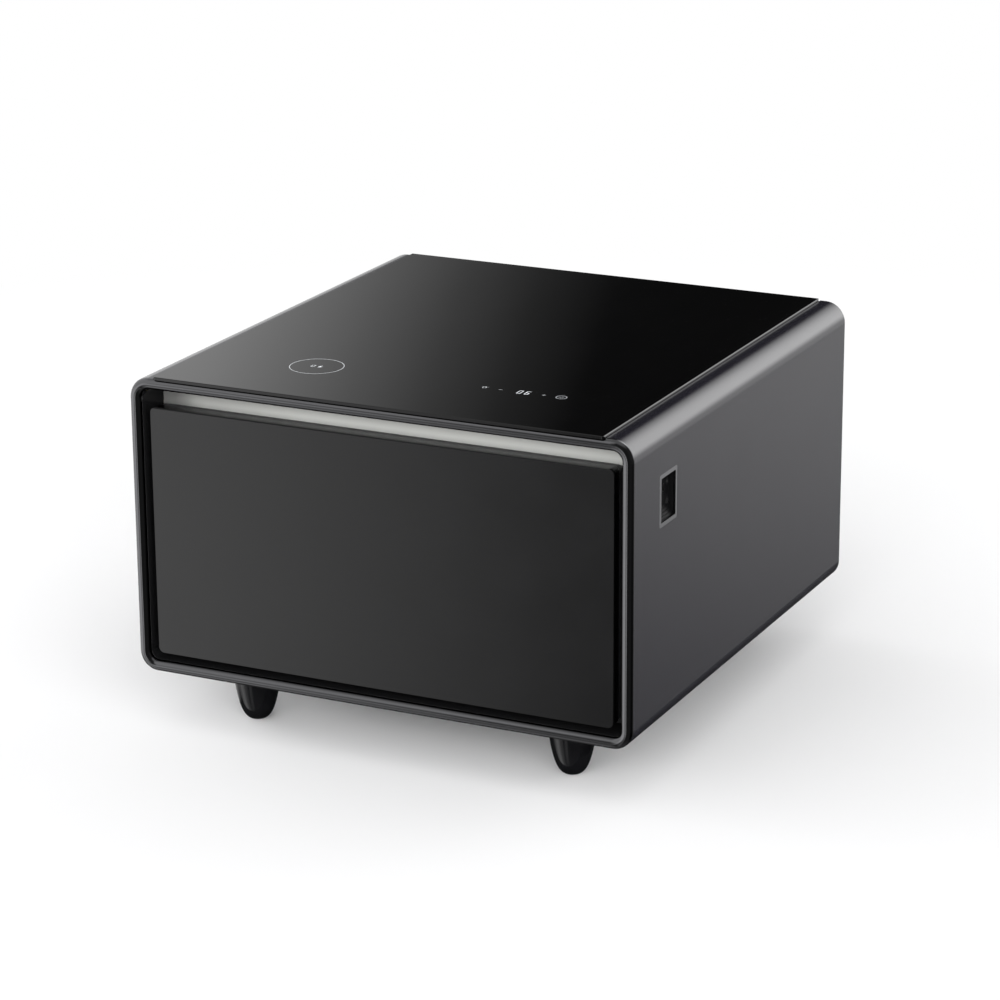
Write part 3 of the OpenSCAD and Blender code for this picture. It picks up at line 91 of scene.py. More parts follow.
DIVIDER_CLOUD = (0.82, 0.9, 0.92)
INSERT_TONE = (0.0055, 0.0055, 0.006)
SHELL_TONE = (0.35, 0.35, 0.36)
SOCKET_MARK_TONE = (0.055, 0.055, 0.056)
BOARD_TONE = (0.012, 0.06, 0.03)
CONTROL_BOARD_TONE = (0.012, 0.07, 0.035)
FOOT_TONE = (0.003, 0.003, 0.0035)
COMPRESSOR_TONE = (0.03, 0.03, 0.033)
BAY_PLASTIC_TONE = (0.02, 0.02, 0.022)
WHITE_PLASTIC_TONE = (0.66, 0.66, 0.64)
INLET_TONE = (0.014, 0.014, 0.015)
# Painted shadow: the tone of the floor's shade under the table, as reflections show it
PAINTED_SHADOW_TONE = (0.02, 0.02, 0.02)

# The dark lining starts this far behind the front of the bead
LINING_START = 7.5 * MM

# The ground upper rim of the drawer's glass
RIM_HEIGHT = 1.8 * MM
RIM_ROUGHNESS = 0.85

# The lit prints lie this far above the glass, and are this thick
PRINT_LIFT = 0.03 * MM
PRINT_THICKNESS = 0.02 * MM

# Places of the touch marks along X, and of their row along Y from the middle of the coil
LAMP_X = 83.9 * MM
MINUS_X = 105.0 * MM
DIGITS_X = (129.7 * MM, 139.5 * MM)
PLUS_X = 160.3 * MM
COLD_X = 182.5 * MM
TOUCH_ROW_Y = 0.4 * MM

# Line widths of the touch marks, the width of a digit, and half the length of minus and plus
TOUCH_LINE = 0.75 * MM
DIGIT_LINE = 0.85 * MM
DIGIT_WIDTH = 4.3 * MM
SIGN_ARM = 2.2 * MM

# Brightness of the prints
RING_GLOW = 0.45
GLYPH_GLOW = 0.7
DIGIT_GLOW = 1.0
SYMBOL_GLOW = 0.4
SIGN_GLOW = 0.22
CRYSTAL_GLOW = 0.06

# The marks in the socket recess: how far they lie behind the sockets' fronts, beside them, and
# above or below their middle, and how thick they are
MARK_DEPTH = 0.35 * MM
MARK_BESIDE = 7.5 * MM
BOLT_LEVEL = 5.0 * MM
PLUG_LEVEL = -18.8 * MM
MARK_THICKNESS = 0.03 * MM

# The light bar's panel: the colour of its dim end, darkened as painted shade where no lamp shines
# through, the colour of the rest, and the length between the two
BAR_END_PAINTED_SHADE = 0.68
BAR_SHADE = 0.94
BAR_FADE = 24 * MM

# Glow of the light bar: (metres from the end of the dim stretch, share of the full glow), and
# (metres above the panel's lower edge, share); the glow's fall towards the upper edge is
# painted shade from the frame above
GLOW_ALONG_BAR = [
    (0, 0), (0.012, 0.11), (0.018, 0.18), (0.029, 0.44), (0.045, 0.6), (0.17, 1.0), (0.43, 1.0),
    (0.6, 0.88)]
GLOW_AND_PAINTED_SHADE_UP_BAR = [
    (0, 0.65), (0.002, 0.73), (0.0045, 0.85), (0.007, 1.0), (0.009, 0.9), (0.012, 0.72), (0.016, 0.5)]

# Soft light for matt surfaces: (degrees round from the back towards the right, level), and
# (degrees above the floor, level)
SOFT_ROUND = [
    (-180, 2.0), (-135, 0.75), (-90, 1.2), (-45, 0.5), (0, 0.5), (45, 1.0), (90, 0.12), (135, 2.2),
    (180, 2.0)]
SOFT_UPWARD = [(0, 1.5), (12, 1.6), (22, 3.8), (35, 0.5), (55, 0.55), (90, 0.55)]

# Light panels and black drapes that polished surfaces mirror: (degrees round from the back
# towards the right, level), first above the horizon, then below it
UPPER_PANELS = [
    (-180, 0.08), (-162, 0.08), (-157, 0.2), (-148, 1.05), (-135, 0.95), (-60, 1.2), (-40, 1.5),
    (-31.3, 0.84), (-29.3, 0.5), (-27.3, 0.21), (-25.9, 0.088), (-24.5, 0.022), (-23.8, 0.008),
    (-7, 0.008), (9, 1.6), (26, 3.8), (45, 0.8), (60, 0.1), (150, 0.05), (180, 0.08)]
LOWER_PANELS = [
    (-180, 0.05), (-177, 1.3), (-164, 1.3), (-160.5, 0.1), (-157, 0.17), (-148, 1.42),
    (-120, 1.6), (-90, 1.2), (-60, 0.9), (-30, 0.8), (0, 0.75), (18, 0.75), (24, 1.12), (35, 0.7),
    (50, 0.08), (150, 0.05), (180, 0.05)]

# How the lower panels fade towards the floor: (degrees of height, share left), each with the
# stretch of the round where it holds: (degrees round, weight)
LOWER_FADES = (
    ([(-45, 0.02), (-30, 0.04), (-21, 0.18), (-16, 0.67), (-10, 1.0)],
     [(-40, 0.0), (-20, 1.0), (90, 1.0), (120, 0.0)]),
    ([(-45, 0.05), (-32, 0.1), (-22, 0.9), (-12, 1.0)],
     [(-125, 0.0), (-95, 1.0), (-40, 1.0), (-20, 0.0)]),
    ([(-26, 0.3), (-21, 1.0)],
     [(-180, 1.0), (-140, 1.0), (-118, 0.0)]),
)

# The upper panels lean: degrees round for each degree of height above their middle
PANEL_LEAN = 0.33
PANEL_LEAN_MIDDLE = 15.0

# Levels straight overhead and straight down, and the radius of the round of panels
OVERHEAD_LEVEL = 0.5
UNDERFOOT_LEVEL = 0.15
PANEL_RADIUS = 60.0

# The floor's reach, and where it turns to plain white: (metres from the middle, share of white)
FLOOR_REACH = 40.0
FLOOR_TO_WHITE = [(0.7, 0.0), (1.4, 0.6), (2.2, 1.0)]

# Inset from the table's outline of the card under the table, which paints the floor's shadow for
# reflections
CARD_INSET = 60 * MM

# Corners of a square, in the order of a face that looks up
SQUARE = ((-1, -1), (1, -1), (1, 1), (-1, 1))

# The camera's sensor, in millimetres, and how far it sees, in metres
SENSOR_WIDTH = 36.0
VIEW_DISTANCE = 200.0


def middle(box):
    """The middle of a box given by its two corners"""
    return (box[0] + box[1]) / 2


# ---- sizes and colours a user may change


class StageSettings(PropertyGroup):
    """The floor, the lamps and the camera"""

    camera_place: FloatVectorProperty(
        name="Camera place", description="Where the camera stands", size=3,
        default=(1.8016, -3.7076, 1.5618), subtype="TRANSLATION", unit="LENGTH")
    camera_turn: FloatProperty(
        name="Camera turn", description="Turn of the camera round the table, from the front",
        default=math.radians(25.921), subtype="ANGLE", unit="ROTATION")
    camera_tilt: FloatProperty(
        name="Camera tilt", description="How steeply the camera looks down",
        default=math.radians(17.838), subtype="ANGLE", unit="ROTATION")
    camera_roll: FloatProperty(
        name="Camera roll", description="Turn of the picture about the line of sight",
        default=math.radians(-0.369), subtype="ANGLE", unit="ROTATION")
    lens: FloatProperty(
        name="Lens", description="Focal length on a sensor 36 mm wide",
        default=125.57, unit="CAMERA")
    floor_tone: FloatVectorProperty(
        name="Floor", description="Colour of the floor near the table", size=3,
        default=(0.9, 0.9, 0.905), subtype="COLOR")
    light_level: FloatProperty(
        name="Light", description="Level of the soft light from all round", default=1.12, min=0.0)


class MetalSettings(PropertyGroup):
    """The painted metal of the casing, the bead and the back"""

    casing_tone: FloatVectorProperty(
        name="Casing", description="Colour of the casing", size=3,
        default=(0.0100, 0.0095, 0.0135), subtype="COLOR")
    casing_gloss: FloatProperty(
        name="Casing roughness", description="How far the casing blurs what it mirrors",
        default=0.21, min=0.0, max=1.0, subtype="FACTOR")
    bead_tone: FloatVectorProperty(
        name="Bead", description="Colour of the bead round the mouth", size=3,
        default=(0.125, 0.125, 0.13), subtype="COLOR")
    bead_gloss: FloatProperty(
        name="Bead roughness", description="How far the bead blurs what it mirrors",
        default=0.13, min=0.0, max=1.0, subtype="FACTOR")
    back_tone: FloatVectorProperty(
        name="Back panel", description="Colour of the louvred back", size=3,
        default=(0.022, 0.022, 0.024), subtype="COLOR")


class GlassSettings(PropertyGroup):
    """The black glass of the top and of the drawer front"""

    tone: FloatVectorProperty(
        name="Glass", description="Colour behind the glass", size=3,
        default=(0.0012, 0.0012, 0.0013), subtype="COLOR")
    top_gloss: FloatProperty(
        name="Top roughness", description="How far the top blurs what it mirrors",
        default=0.05, min=0.0, max=1.0, subtype="FACTOR")
    door_gloss: FloatProperty(
        name="Drawer roughness", description="How far the drawer front blurs what it mirrors",
        default=0.12, min=0.0, max=1.0, subtype="FACTOR")


class MarkSettings(PropertyGroup):
    """The lit marks seen through the glass top"""

    tone: FloatVectorProperty(
        name="Marks", description="Colour of the lit marks", size=3,
        default=(0.93, 0.96, 1.0), subtype="COLOR")
    ring_size: FloatProperty(
        name="Ring", description="Diameter of the charging ring", default=65 * MM,
        unit="LENGTH")
    ring_line: FloatProperty(
        name="Ring line", description="Width of the charging ring's line", default=0.8 * MM,
        unit="LENGTH")
    digit_height: FloatProperty(
        name="Digits", description="Height of the two digits", default=12.4 * MM, unit="LENGTH")
    reading: IntProperty(
        name="Reading", description="Temperature shown, two digits", default=6, min=0, max=99)


class LightBarSettings(PropertyGroup):
    """The light bar above the drawer"""

    tone: FloatVectorProperty(
        name="Light panel", description="Colour of the milky panel", size=3,
        default=(0.3, 0.3, 0.29), subtype="COLOR")
    glow: FloatProperty(
        name="Glow", description="Light that the panel gives of its own", default=0.3, min=0.0)
    dim_end: FloatProperty(
        name="Dim end", description="Length at the left where no lamp shines", default=16 * MM,
        unit="LENGTH")


class InsideSettings(PropertyGroup):
    """The cold compartment, the drawer's bin and the works behind"""

    liner_tone: FloatVectorProperty(
        name="Liner", description="Colour of the liner and the bin", size=3,
        default=(0.66, 0.68, 0.70), subtype="COLOR")
    copper_tone: FloatVectorProperty(
        name="Copper", description="Colour of the pipes and the coil", size=3,
        default=(0.72, 0.36, 0.2), subtype="COLOR")
    zinc_tone: FloatVectorProperty(
        name="Zinc", description="Colour of plated steel", size=3,
        default=(0.5, 0.51, 0.53), subtype="COLOR")


# ---- arithmetic on shader values


def math_node(tree, operation, first, second=0.0):
    """The result of an operation on two values or sockets"""
    made = tree.nodes.new("ShaderNodeMath")
    made.operation = operation
    for socket, value in zip(made.inputs, (first, second)):
        if isinstance(value, bpy.types.NodeSocket):
            tree.links.new(value, socket)
        else:
            socket.default_value = value
    return made.outputs[0]


def level_curve(tree, value, points):
    """A value turned into another along straight stretches between (from, to) points"""
    low, high = points[0][0], points[-1][0]
    top = max(p[1] for p in points)
    share = tree.nodes.new("ShaderNodeMapRange")
    share.inputs["From Min"].default_value = low
    share.inputs["From Max"].default_value = high
    tree.links.new(value, share.inputs["Value"])
    ramp = tree.nodes.new("ShaderNodeValToRGB")
    ramp.color_ramp.interpolation = "LINEAR"
    stops = ramp.color_ramp.elements
    while len(stops) < len(points):
        stops.new(0.5)
    for stop, (place, level) in zip(stops, points):
        stop.position = (place - low) / (high - low)
        stop.color = (level / top, level / top, level / top, 1.0)
    tree.links.new(share.outputs["Result"], ramp.inputs["Fac"])
    return math_node(tree, "MULTIPLY", ramp.outputs["Color"], top)


def blend_levels(tree, share, first, second):
    """From the first level to the second as the share goes from 0 to 1"""
    rest = math_node(tree, "SUBTRACT", 1.0, share)
    return math_node(tree, "ADD", math_node(tree, "MULTIPLY", first, rest),
                     math_node(tree, "MULTIPLY", second, share))


# ---- finishes


class Finish:
    """One procedural finish: a shader, and the fields of fine detail that feed it"""

    def __init__(self, name, tone, roughness, metallic=0.0):
        self.material = bpy.data.materials.new(name)
        self.material.use_nodes = True
        self.tree = self.material.node_tree
        self.shader = self.tree.nodes["Principled BSDF"]
        self.place = self.tree.nodes.new("ShaderNodeTexCoord").outputs["Object"]
        self.tone = tuple(tone)
        self.set("Base Color", (*tone, 1.0))
        self.set("Roughness", roughness)
        self.set("Metallic", metallic)
        self.surface = None

    def set(self, socket, value):
        """A plain number or colour, on the shader's own socket"""
        self.shader.inputs[socket].default_value = value
        return self

    def node(self, kind, **values):
        """A new node with the named inputs set or linked"""
        made = self.tree.nodes.new(kind)
        for name, value in values.items():
            socket = made.inputs[name.replace("_", " ")]
            if isinstance(value, bpy.types.NodeSocket):
                self.tree.links.new(value, socket)
            else:
                socket.default_value = value
        return made

    def grain(self, size, detail=2.0, stretch=(1.0, 1.0, 1.0)):
        """A cloudy field with spots about one size across, longer where stretch is small"""
        spread = self.node("ShaderNodeMapping", Vector=self.place, Scale=stretch)
        field = self.node(
            "ShaderNodeTexNoise", Vector=spread.outputs["Vector"], Scale=1 / size, Detail=detail)
        return field.outputs["Fac"]

    def cells(self, size, stretch=(1.0, 1.0, 1.0)):
        """A field of rounded cells about one size across"""
        spread = self.node("ShaderNodeMapping", Vector=self.place, Scale=stretch)
        field = self.node("ShaderNodeTexVoronoi", Vector=spread.outputs["Vector"], Scale=1 / size)
        return field.outputs["Distance"]

    def along(self, axis):
        """The place along X, Y or Z, in metres"""
        return self.node("ShaderNodeSeparateXYZ", Vector=self.place).outputs[axis]

    def ranged(self, field, low, high, start=0.3, end=0.7):
        """A field turned from start..end into low..high"""
        made = self.node("ShaderNodeMapRange", Value=field)
        for name, value in (("From Min", start), ("From Max", end), ("To Min", low), ("To Max", high)):
            made.inputs[name].default_value = value
        return made.outputs["Result"]

    def mottle(self, field, other, start=0.3, end=0.7):
        """The finish's tone turns into another where the field rises"""
        mix = self.tree.nodes.new("ShaderNodeMix")
        mix.data_type = "RGBA"
        source = self.shader.inputs["Base Color"]
        mix_inputs = {s.identifier: s for s in mix.inputs}
        if source.is_linked:
            self.tree.links.new(source.links[0].from_socket, mix_inputs["A_Color"])
        else:
            mix_inputs["A_Color"].default_value = (*self.tone, 1.0)
        mix_inputs["B_Color"].default_value = (*other, 1.0)
        self.tree.links.new(self.ranged(field, 0.0, 1.0, start, end), mix_inputs["Factor_Float"])
        made = {s.identifier: s for s in mix.outputs}["Result_Color"]
        self.tree.links.new(made, source)
        return self

    def uneven(self, field, low, high):
        """The roughness wanders between two values"""
        self.tree.links.new(self.ranged(field, low, high), self.shader.inputs["Roughness"])
        return self

    def ground_rim(self, front, edge):
        """Ground rough on the front face above a height"""
        before = self.shader.inputs["Roughness"].links[0].from_socket
        above = self.ranged(self.along("Z"), 0.0, RIM_ROUGHNESS, edge, edge + 0.4 * MM)
        faced = self.ranged(self.along("Y"), RIM_ROUGHNESS, 0.0, front + 0.3 * MM, front + 0.6 * MM)
        rim = math_node(self.tree, "MINIMUM", above, faced)
        rough = math_node(self.tree, "MAXIMUM", before, rim)
        self.tree.links.new(rough, self.shader.inputs["Roughness"])
        return self

    def relief(self, field, depth):
        """Fine relief of a real depth, on top of any relief given before"""
        bump = self.node("ShaderNodeBump", Height=field, Distance=depth, Strength=1.0)
        if self.surface:
            self.tree.links.new(self.surface, bump.inputs["Normal"])
        self.surface = bump.outputs["Normal"]
        self.tree.links.new(self.surface, self.shader.inputs["Normal"])
        return self


def shade(tone, factor):
    """A tone made lighter or darker"""
    return tuple(c * factor for c in tone)


def satin_paint(name, tone, roughness):
    """Dark satin paint: fine flake, a faint orange peel and a wandering sheen"""
    made = Finish(name, tone, roughness)
    made.set("IOR", PAINT_IOR)
    flake = made.grain(0.5 * MM, detail=1.0)
    made.mottle(flake, shade(tone, 1.3), 0.45, 0.75)
    made.uneven(made.grain(120 * MM), roughness - 0.01, roughness + 0.01)
    made.relief(made.grain(1.6 * MM), 0.0012 * MM)
    return made


def dark_anodised(name, tone, roughness):
    """Dark anodised aluminium: a metal sheen with short polishing lines"""
    made = Finish(name, tone, roughness, metallic=1.0)
    lines = made.grain(0.5 * MM, stretch=(0.08, 1.0, 1.0))
    made.mottle(lines, shade(tone, 1.12))
    made.uneven(made.grain(40 * MM), roughness - 0.02, roughness + 0.02)
    made.relief(lines, 0.0015 * MM)
    return made


def black_pane(name, tone, roughness):
    """Black-backed glass: a mirror surface with the slightest waviness and cleaning marks"""
    made = Finish(name, tone, roughness)
    made.set("IOR", GLASS_IOR)
    wipe = made.grain(90 * MM, detail=3.0, stretch=(1.0, 0.35, 1.0))
    made.mottle(wipe, shade(tone, 1.5))
    made.uneven(wipe, roughness * 0.85, roughness * 1.2)
    made.relief(made.grain(140 * MM, detail=0.0), 0.01 * MM)
    return made


def moulded_plastic(name, tone, roughness, grain_size=0.7 * MM, grain_depth=0.012 * MM):
    """Moulded plastic with a fine spark-eroded texture"""
    made = Finish(name, tone, roughness)
    made.set("IOR", PLASTIC_IOR)
    made.mottle(made.grain(60 * MM), shade(tone, 0.96))
    made.uneven(made.grain(8 * MM), roughness - 0.05, min(1.0, roughness + 0.05))
    made.relief(made.cells(grain_size), grain_depth)
    return made


def gloss_plastic(name, tone):
    """Glossy plastic with slight flow waviness"""
    made = Finish(name, tone, 0.14)
    made.set("IOR", GLASS_IOR)
    made.mottle(made.grain(18 * MM), shade(tone, 1.6))
    made.uneven(made.grain(12 * MM, detail=4.0), 0.1, 0.2)
    made.relief(made.grain(9 * MM), 0.01 * MM)
    return made


def rubber(name, tone):
    """Soft matt rubber with a powdery bloom"""
    made = Finish(name, tone, 0.7)
    made.mottle(made.grain(4 * MM, detail=4.0), shade(tone, 1.9))
    made.uneven(made.grain(2 * MM), 0.6, 0.8)
    made.relief(made.grain(0.5 * MM), 0.02 * MM)
    return made


def plated_steel(name, tone):
    """Zinc plated sheet with its large faint crystals and fine rolling lines"""
    made = Finish(name, tone, 0.45, metallic=1.0)
    made.mottle(made.cells(7 * MM), shade(tone, 0.9), 0.2, 0.7)
    made.uneven(made.cells(7 * MM), 0.42, 0.5)
    made.relief(made.grain(0.6 * MM, stretch=(1.0, 0.05, 1.0)), 0.0015 * MM)
    return made


def drawn_copper(name, tone):
    """Copper with patches of darker bloom and fine drawing lines"""
    made = Finish(name, tone, 0.28, metallic=1.0)
    made.mottle(made.grain(14 * MM, detail=3.0), (tone[0] * 0.78, tone[1] * 0.68, tone[2] * 0.64))
    made.uneven(made.grain(6 * MM, detail=4.0), 0.2, 0.42)
    made.relief(made.grain(0.8 * MM), 0.006 * MM)
    return made


def rolled_aluminium(name, tone):
    """Rolled aluminium with long brush lines"""
    made = Finish(name, tone, 0.32, metallic=1.0)
    lines = made.grain(0.8 * MM, detail=3.0, stretch=(0.04, 1.0, 1.0))
    made.mottle(lines, shade(tone, 0.82))
    made.uneven(lines, 0.24, 0.42)
    made.relief(lines, 0.004 * MM)
    return made


def foamed(name, tone):
    """Rigid foam: open cells and blotches of deeper colour"""
    made = Finish(name, tone, 0.9)
    made.mottle(made.grain(30 * MM, detail=5.0), shade(tone, 0.7))
    made.relief(made.cells(1.6 * MM), 0.3 * MM)
    made.relief(made.grain(7 * MM, detail=4.0), 0.4 * MM)
    return made


def solder_mask(name, tone):
    """Circuit board: green lacquer over a grid of traces"""
    made = Finish(name, tone, 0.35)
    bricks = made.node("ShaderNodeTexBrick", Vector=made.place, Scale=1.0)
    for socket, value in (("Brick Width", 5 * MM), ("Row Height", 1.6 * MM), ("Mortar Size", 0.2 * MM)):
        bricks.inputs[socket].default_value = value
    made.mottle(bricks.outputs["Fac"], shade(tone, 2.2), 0.0, 1.0)
    made.uneven(made.grain(5 * MM), 0.28, 0.42)
    made.relief(bricks.outputs["Fac"], 0.03 * MM)
    return made


def dress(finish, *nodes):
    """Gives a finish to nodes of the frame"""
    for name in nodes:
        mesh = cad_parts[name].data
        mesh.materials.clear()
        mesh.materials.append(finish.material)


# ---- meshes


def new_piece(name, mesh_maker, finish, body):
    """A piece of its own mesh that rides on a body of the frame"""
    mesh = bpy.data.meshes.new(name)
    bm = bmesh.new()
    mesh_maker(bm)
    bmesh.ops.recalc_face_normals(bm, faces=bm.faces)
    bm.to_mesh(mesh)
    bm.free()
    mesh.materials.append(finish.material)
    piece = bpy.data.objects.new(name, mesh)
    bpy.context.scene.collection.objects.link(piece)
    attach(piece, body)
    return piece


def thicken(piece, thickness):
    """Gives a flat piece a thickness below its face"""
    modifier = piece.modifiers.new("thickness", "SOLIDIFY")
    modifier.thickness = thickness
    modifier.offset = -1.0


def arc_points(centre, radius, start, end, steps):
    """Points on an arc, angles in degrees"""
    turn = [math.radians(start + (end - start) * i / steps) for i in range(steps + 1)]
    return [(centre[0] + radius * math.cos(a), centre[1] + radius * math.sin(a)) for a in turn]


def circle_points(radius, count):
    """Points evenly round a circle about the middle"""
    return arc_points((0, 0), radius, 0, 360 * (count - 1) / count, count - 1)


def stroke(bm, points, width, place, closed=False):
    """A flat ribbon of even width along points of a plane, with round ends"""
    count = len(points)
    sides = []
    for i in range(count):
        before = Vector(points[(i - 1) % count] if closed or i else points[0])
        after = Vector(points[(i + 1) % count] if closed or i < count - 1 else points[-1])
        along = (after - before).normalized()
        across = Vector((-along.y, along.x)) * width / 2
        here = Vector(points[i])
        sides.append([bm.verts.new(place(here + across)), bm.verts.new(place(here - across))])
    for i in range(count if closed else count - 1):
        a, b = sides[i], sides[(i + 1) % count]
        bm.faces.new((a[0], b[0], b[1], a[1]))
    if not closed:
        round_end(bm, Vector(points[0]), Vector(points[1]), sides[0], width, place)
        round_end(bm, Vector(points[-1]), Vector(points[-2]), sides[-1][::-1], width, place)


def round_end(bm, tip, inner, side, width, place):
    """The half disc that ends a ribbon"""
    out = (tip - inner).normalized()
    across = Vector((-out.y, out.x))
    steps = 6
    rim = []
    for i in range(1, steps):
        a = math.pi * i / steps
        rim.append(bm.verts.new(place(tip + (across * math.cos(a) + out * math.sin(a)) * width / 2)))
    bm.faces.new([side[1], *rim, side[0]])


def on_glass(centre):
    """Places plane points just above the glass top, round a centre"""
    height = GLASS_BOX[1].z + PRINT_LIFT
    return lambda p: Vector((centre[0] + p[0], centre[1] + p[1], height))


SEGMENTS_OF = {
    0: "abcdef", 1: "bc", 2: "abdeg", 3: "abcdg", 4: "bcfg",
    5: "acdfg", 6: "acdefg", 7: "abc", 8: "abcdefg", 9: "abcdfg",
}


def draw_bolt(bm, place, size=1.0):
    """A small solid bolt round its middle"""
    half = [(1.2, 5.2), (-3.0, -0.6), (-0.3, -0.6)]
    shape = [Vector(p) for p in half] + [-Vector(p) for p in half]
    bm.faces.new([bm.verts.new(place(p * size * MM)) for p in shape])


def digit_strokes(value, width, height):
    """The lit bars of one digit, as pairs of points round its middle"""
    w, h, gap = width / 2, height / 2, 0.09 * width
    bars = {
        "a": ((-w + gap, h), (w - gap, h)), "g": ((-w + gap, 0), (w - gap, 0)),
        "d": ((-w + gap, -h), (w - gap, -h)), "f": ((-w, gap), (-w, h - gap)),
        "b": ((w, gap), (w, h - gap)), "e": ((-w, -h + gap), (-w, -gap)),
        "c": ((w, -h + gap), (w, -gap)),
    }
    return [bars[s] for s in SEGMENTS_OF[value]]


def lit_finish(name, tone, strength):
    """A lit print under the glass, a little uneven as its lamp is a point"""
    made = Finish(name, shade(tone, 0.3), 0.3)
    field = made.ranged(made.grain(3 * MM), strength * 0.86, strength * 1.1)
    made.tree.links.new(field, made.shader.inputs["Emission Strength"])
    made.set("Emission Color", (*tone, 1.0))
    return made


# ---- pieces


class NIGHTSTAND_OT_casing(Operator):
    """Finishes the casing, and the bead round its mouth with the dark lining behind it"""

    bl_idname = "nightstand.casing"
    bl_label = "Casing and bead"

    def execute(self, context):
        metal = context.scene.nightstand_metal
        dress(satin_paint("casing_paint", metal.casing_tone, metal.casing_gloss), "outer_casing")
        bead = dark_anodised("bead_metal", metal.bead_tone, metal.bead_gloss)
        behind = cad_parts["front_frame"].bound_box[0][1] + LINING_START
        depth = bead.along("Y")
        bead.mottle(depth, LINING_TONE, behind, behind + MM)
        bare = bead.ranged(depth, 1.0, 0.0, behind, behind + MM)
        bead.tree.links.new(bare, bead.shader.inputs["Metallic"])
        bead.set("Specular IOR Level", 0.1)
        dress(bead, "front_frame")
        return {"FINISHED"}


class NIGHTSTAND_OT_glass_top(Operator):
    """Finishes the glass top and the tape under it"""

    bl_idname = "nightstand.glass_top"
    bl_label = "Glass top"

    def execute(self, context):
        glass = context.scene.nightstand_glass
        dress(black_pane("top_pane", glass.tone, glass.top_gloss), "top_glass")
        dress(rubber("seal_tape", TAPE_TONE), "glass_seal")
        return {"FINISHED"}


class NIGHTSTAND_OT_charge_ring(Operator):
    """Makes the charging ring and the small glyph at its middle"""

    bl_idname = "nightstand.charge_ring"
    bl_label = "Charging ring"

    def execute(self, context):
        marks = context.scene.nightstand_marks
        place = on_glass(middle(COIL_BOX))
        ring_print = lit_finish("ring_print", marks.tone, RING_GLOW)
        glyph_print = lit_finish("glyph_print", marks.tone, GLYPH_GLOW)
        aside = 4.6 * MM

        def ring(bm):
            stroke(bm, circle_points(marks.ring_size / 2, 96), marks.ring_line, place, closed=True)

        def glyph(bm):
            self.handset(bm, place, -aside)
            draw_bolt(bm, lambda p: place(p + Vector((aside, 0.0))))

        for name, maker, finish in (
                ("charge_ring", ring, ring_print), ("charge_glyph", glyph, glyph_print)):
            thicken(new_piece(name, maker, finish, "cabinet"), PRINT_THICKNESS)
        return {"FINISHED"}

    @staticmethod
    def handset(bm, place, middle_x):
        """The outline of a handset, as a rectangle with round corners"""
        x, y, corner = 2.0 * MM, 3.4 * MM, 0.8 * MM
        outline = []
        for sx, sy, start in ((1, 1, 0), (-1, 1, 90), (-1, -1, 180), (1, -1, 270)):
            centre = (middle_x + sx * (x - corner), sy * (y - corner))
            outline += arc_points(centre, corner, start, start + 90, 4)
        stroke(bm, outline, 0.7 * MM, place, closed=True)


class NIGHTSTAND_OT_touch_row(Operator):
    """Makes the row of touch marks: lamp, minus, two digits, plus, and a crystal in its ring"""

    bl_idname = "nightstand.touch_row"
    bl_label = "Touch marks"

    def execute(self, context):
        marks = context.scene.nightstand_marks
        row_y = middle(COIL_BOX).y + TOUCH_ROW_Y
        bright = lit_finish("digit_print", marks.tone, DIGIT_GLOW)
        soft = lit_finish("symbol_print", marks.tone, SYMBOL_GLOW)
        dim = lit_finish("dim_print", marks.tone, SIGN_GLOW)
        faint = lit_finish("faint_print", marks.tone, CRYSTAL_GLOW)

        def at(x):
            return on_glass((x, row_y))

        def digits(bm):
            for x, value in zip(DIGITS_X, divmod(marks.reading, 10)):
                for bar in digit_strokes(value, DIGIT_WIDTH, marks.digit_height - DIGIT_LINE):
                    stroke(bm, bar, DIGIT_LINE, at(x))

        def cold(bm):
            stroke(bm, circle_points(6.3 * MM, 60), TOUCH_LINE, at(COLD_X), closed=True)

        def crystal(bm):
            place = at(COLD_X)
            thin = TOUCH_LINE * 0.5
            for i in range(6):
                turn = math.radians(60 * i + 30)
                arm = Vector((math.cos(turn), math.sin(turn)))
                stroke(bm, (arm * 0.6 * MM, arm * 3.2 * MM), thin, place)
                for side in (-1, 1):
                    lean = turn + side * math.radians(50)
                    branch = Vector((math.cos(lean), math.sin(lean)))
                    fork = arm * 1.9 * MM
                    stroke(bm, (fork + branch * 0.4 * MM, fork + branch * 1.1 * MM), thin, place)

        def plus(bm):
            place = at(PLUS_X)
            stroke(bm, ((-SIGN_ARM, 0), (SIGN_ARM, 0)), TOUCH_LINE, place)
            for side in (-1, 1):
                stroke(bm, ((0, side * 0.9 * MM), (0, side * SIGN_ARM)), TOUCH_LINE, place)

        def minus(bm):
            stroke(bm, ((-SIGN_ARM, 0), (SIGN_ARM, 0)), TOUCH_LINE, at(MINUS_X))

        def lamp(bm):
            place = at(LAMP_X)
            bulb = Vector((0, 0.7 * MM))
            stroke(bm, arc_points(bulb, 2.3 * MM, -50, 230, 28), TOUCH_LINE * 1.3, place)
            stroke(bm, ((-0.8 * MM, -3.1 * MM), (0.4 * MM, -3.1 * MM)), TOUCH_LINE * 0.6, place)
            for turn in (40, 90, 140):
                beam = Vector((math.cos(math.radians(turn)), math.sin(math.radians(turn))))
                stroke(bm, (bulb + beam * 3.7 * MM, bulb + beam * 4.7 * MM), TOUCH_LINE * 0.8, place)

        for name, maker, finish in (
                ("digits", digits, bright), ("cold_mark", cold, soft), ("crystal_mark", crystal, faint),
                ("plus_mark", plus, dim), ("minus_mark", minus, dim), ("lamp_mark", lamp, soft)):
            thicken(new_piece(name, maker, finish, "cabinet"), PRINT_THICKNESS)
        return {"FINISHED"}


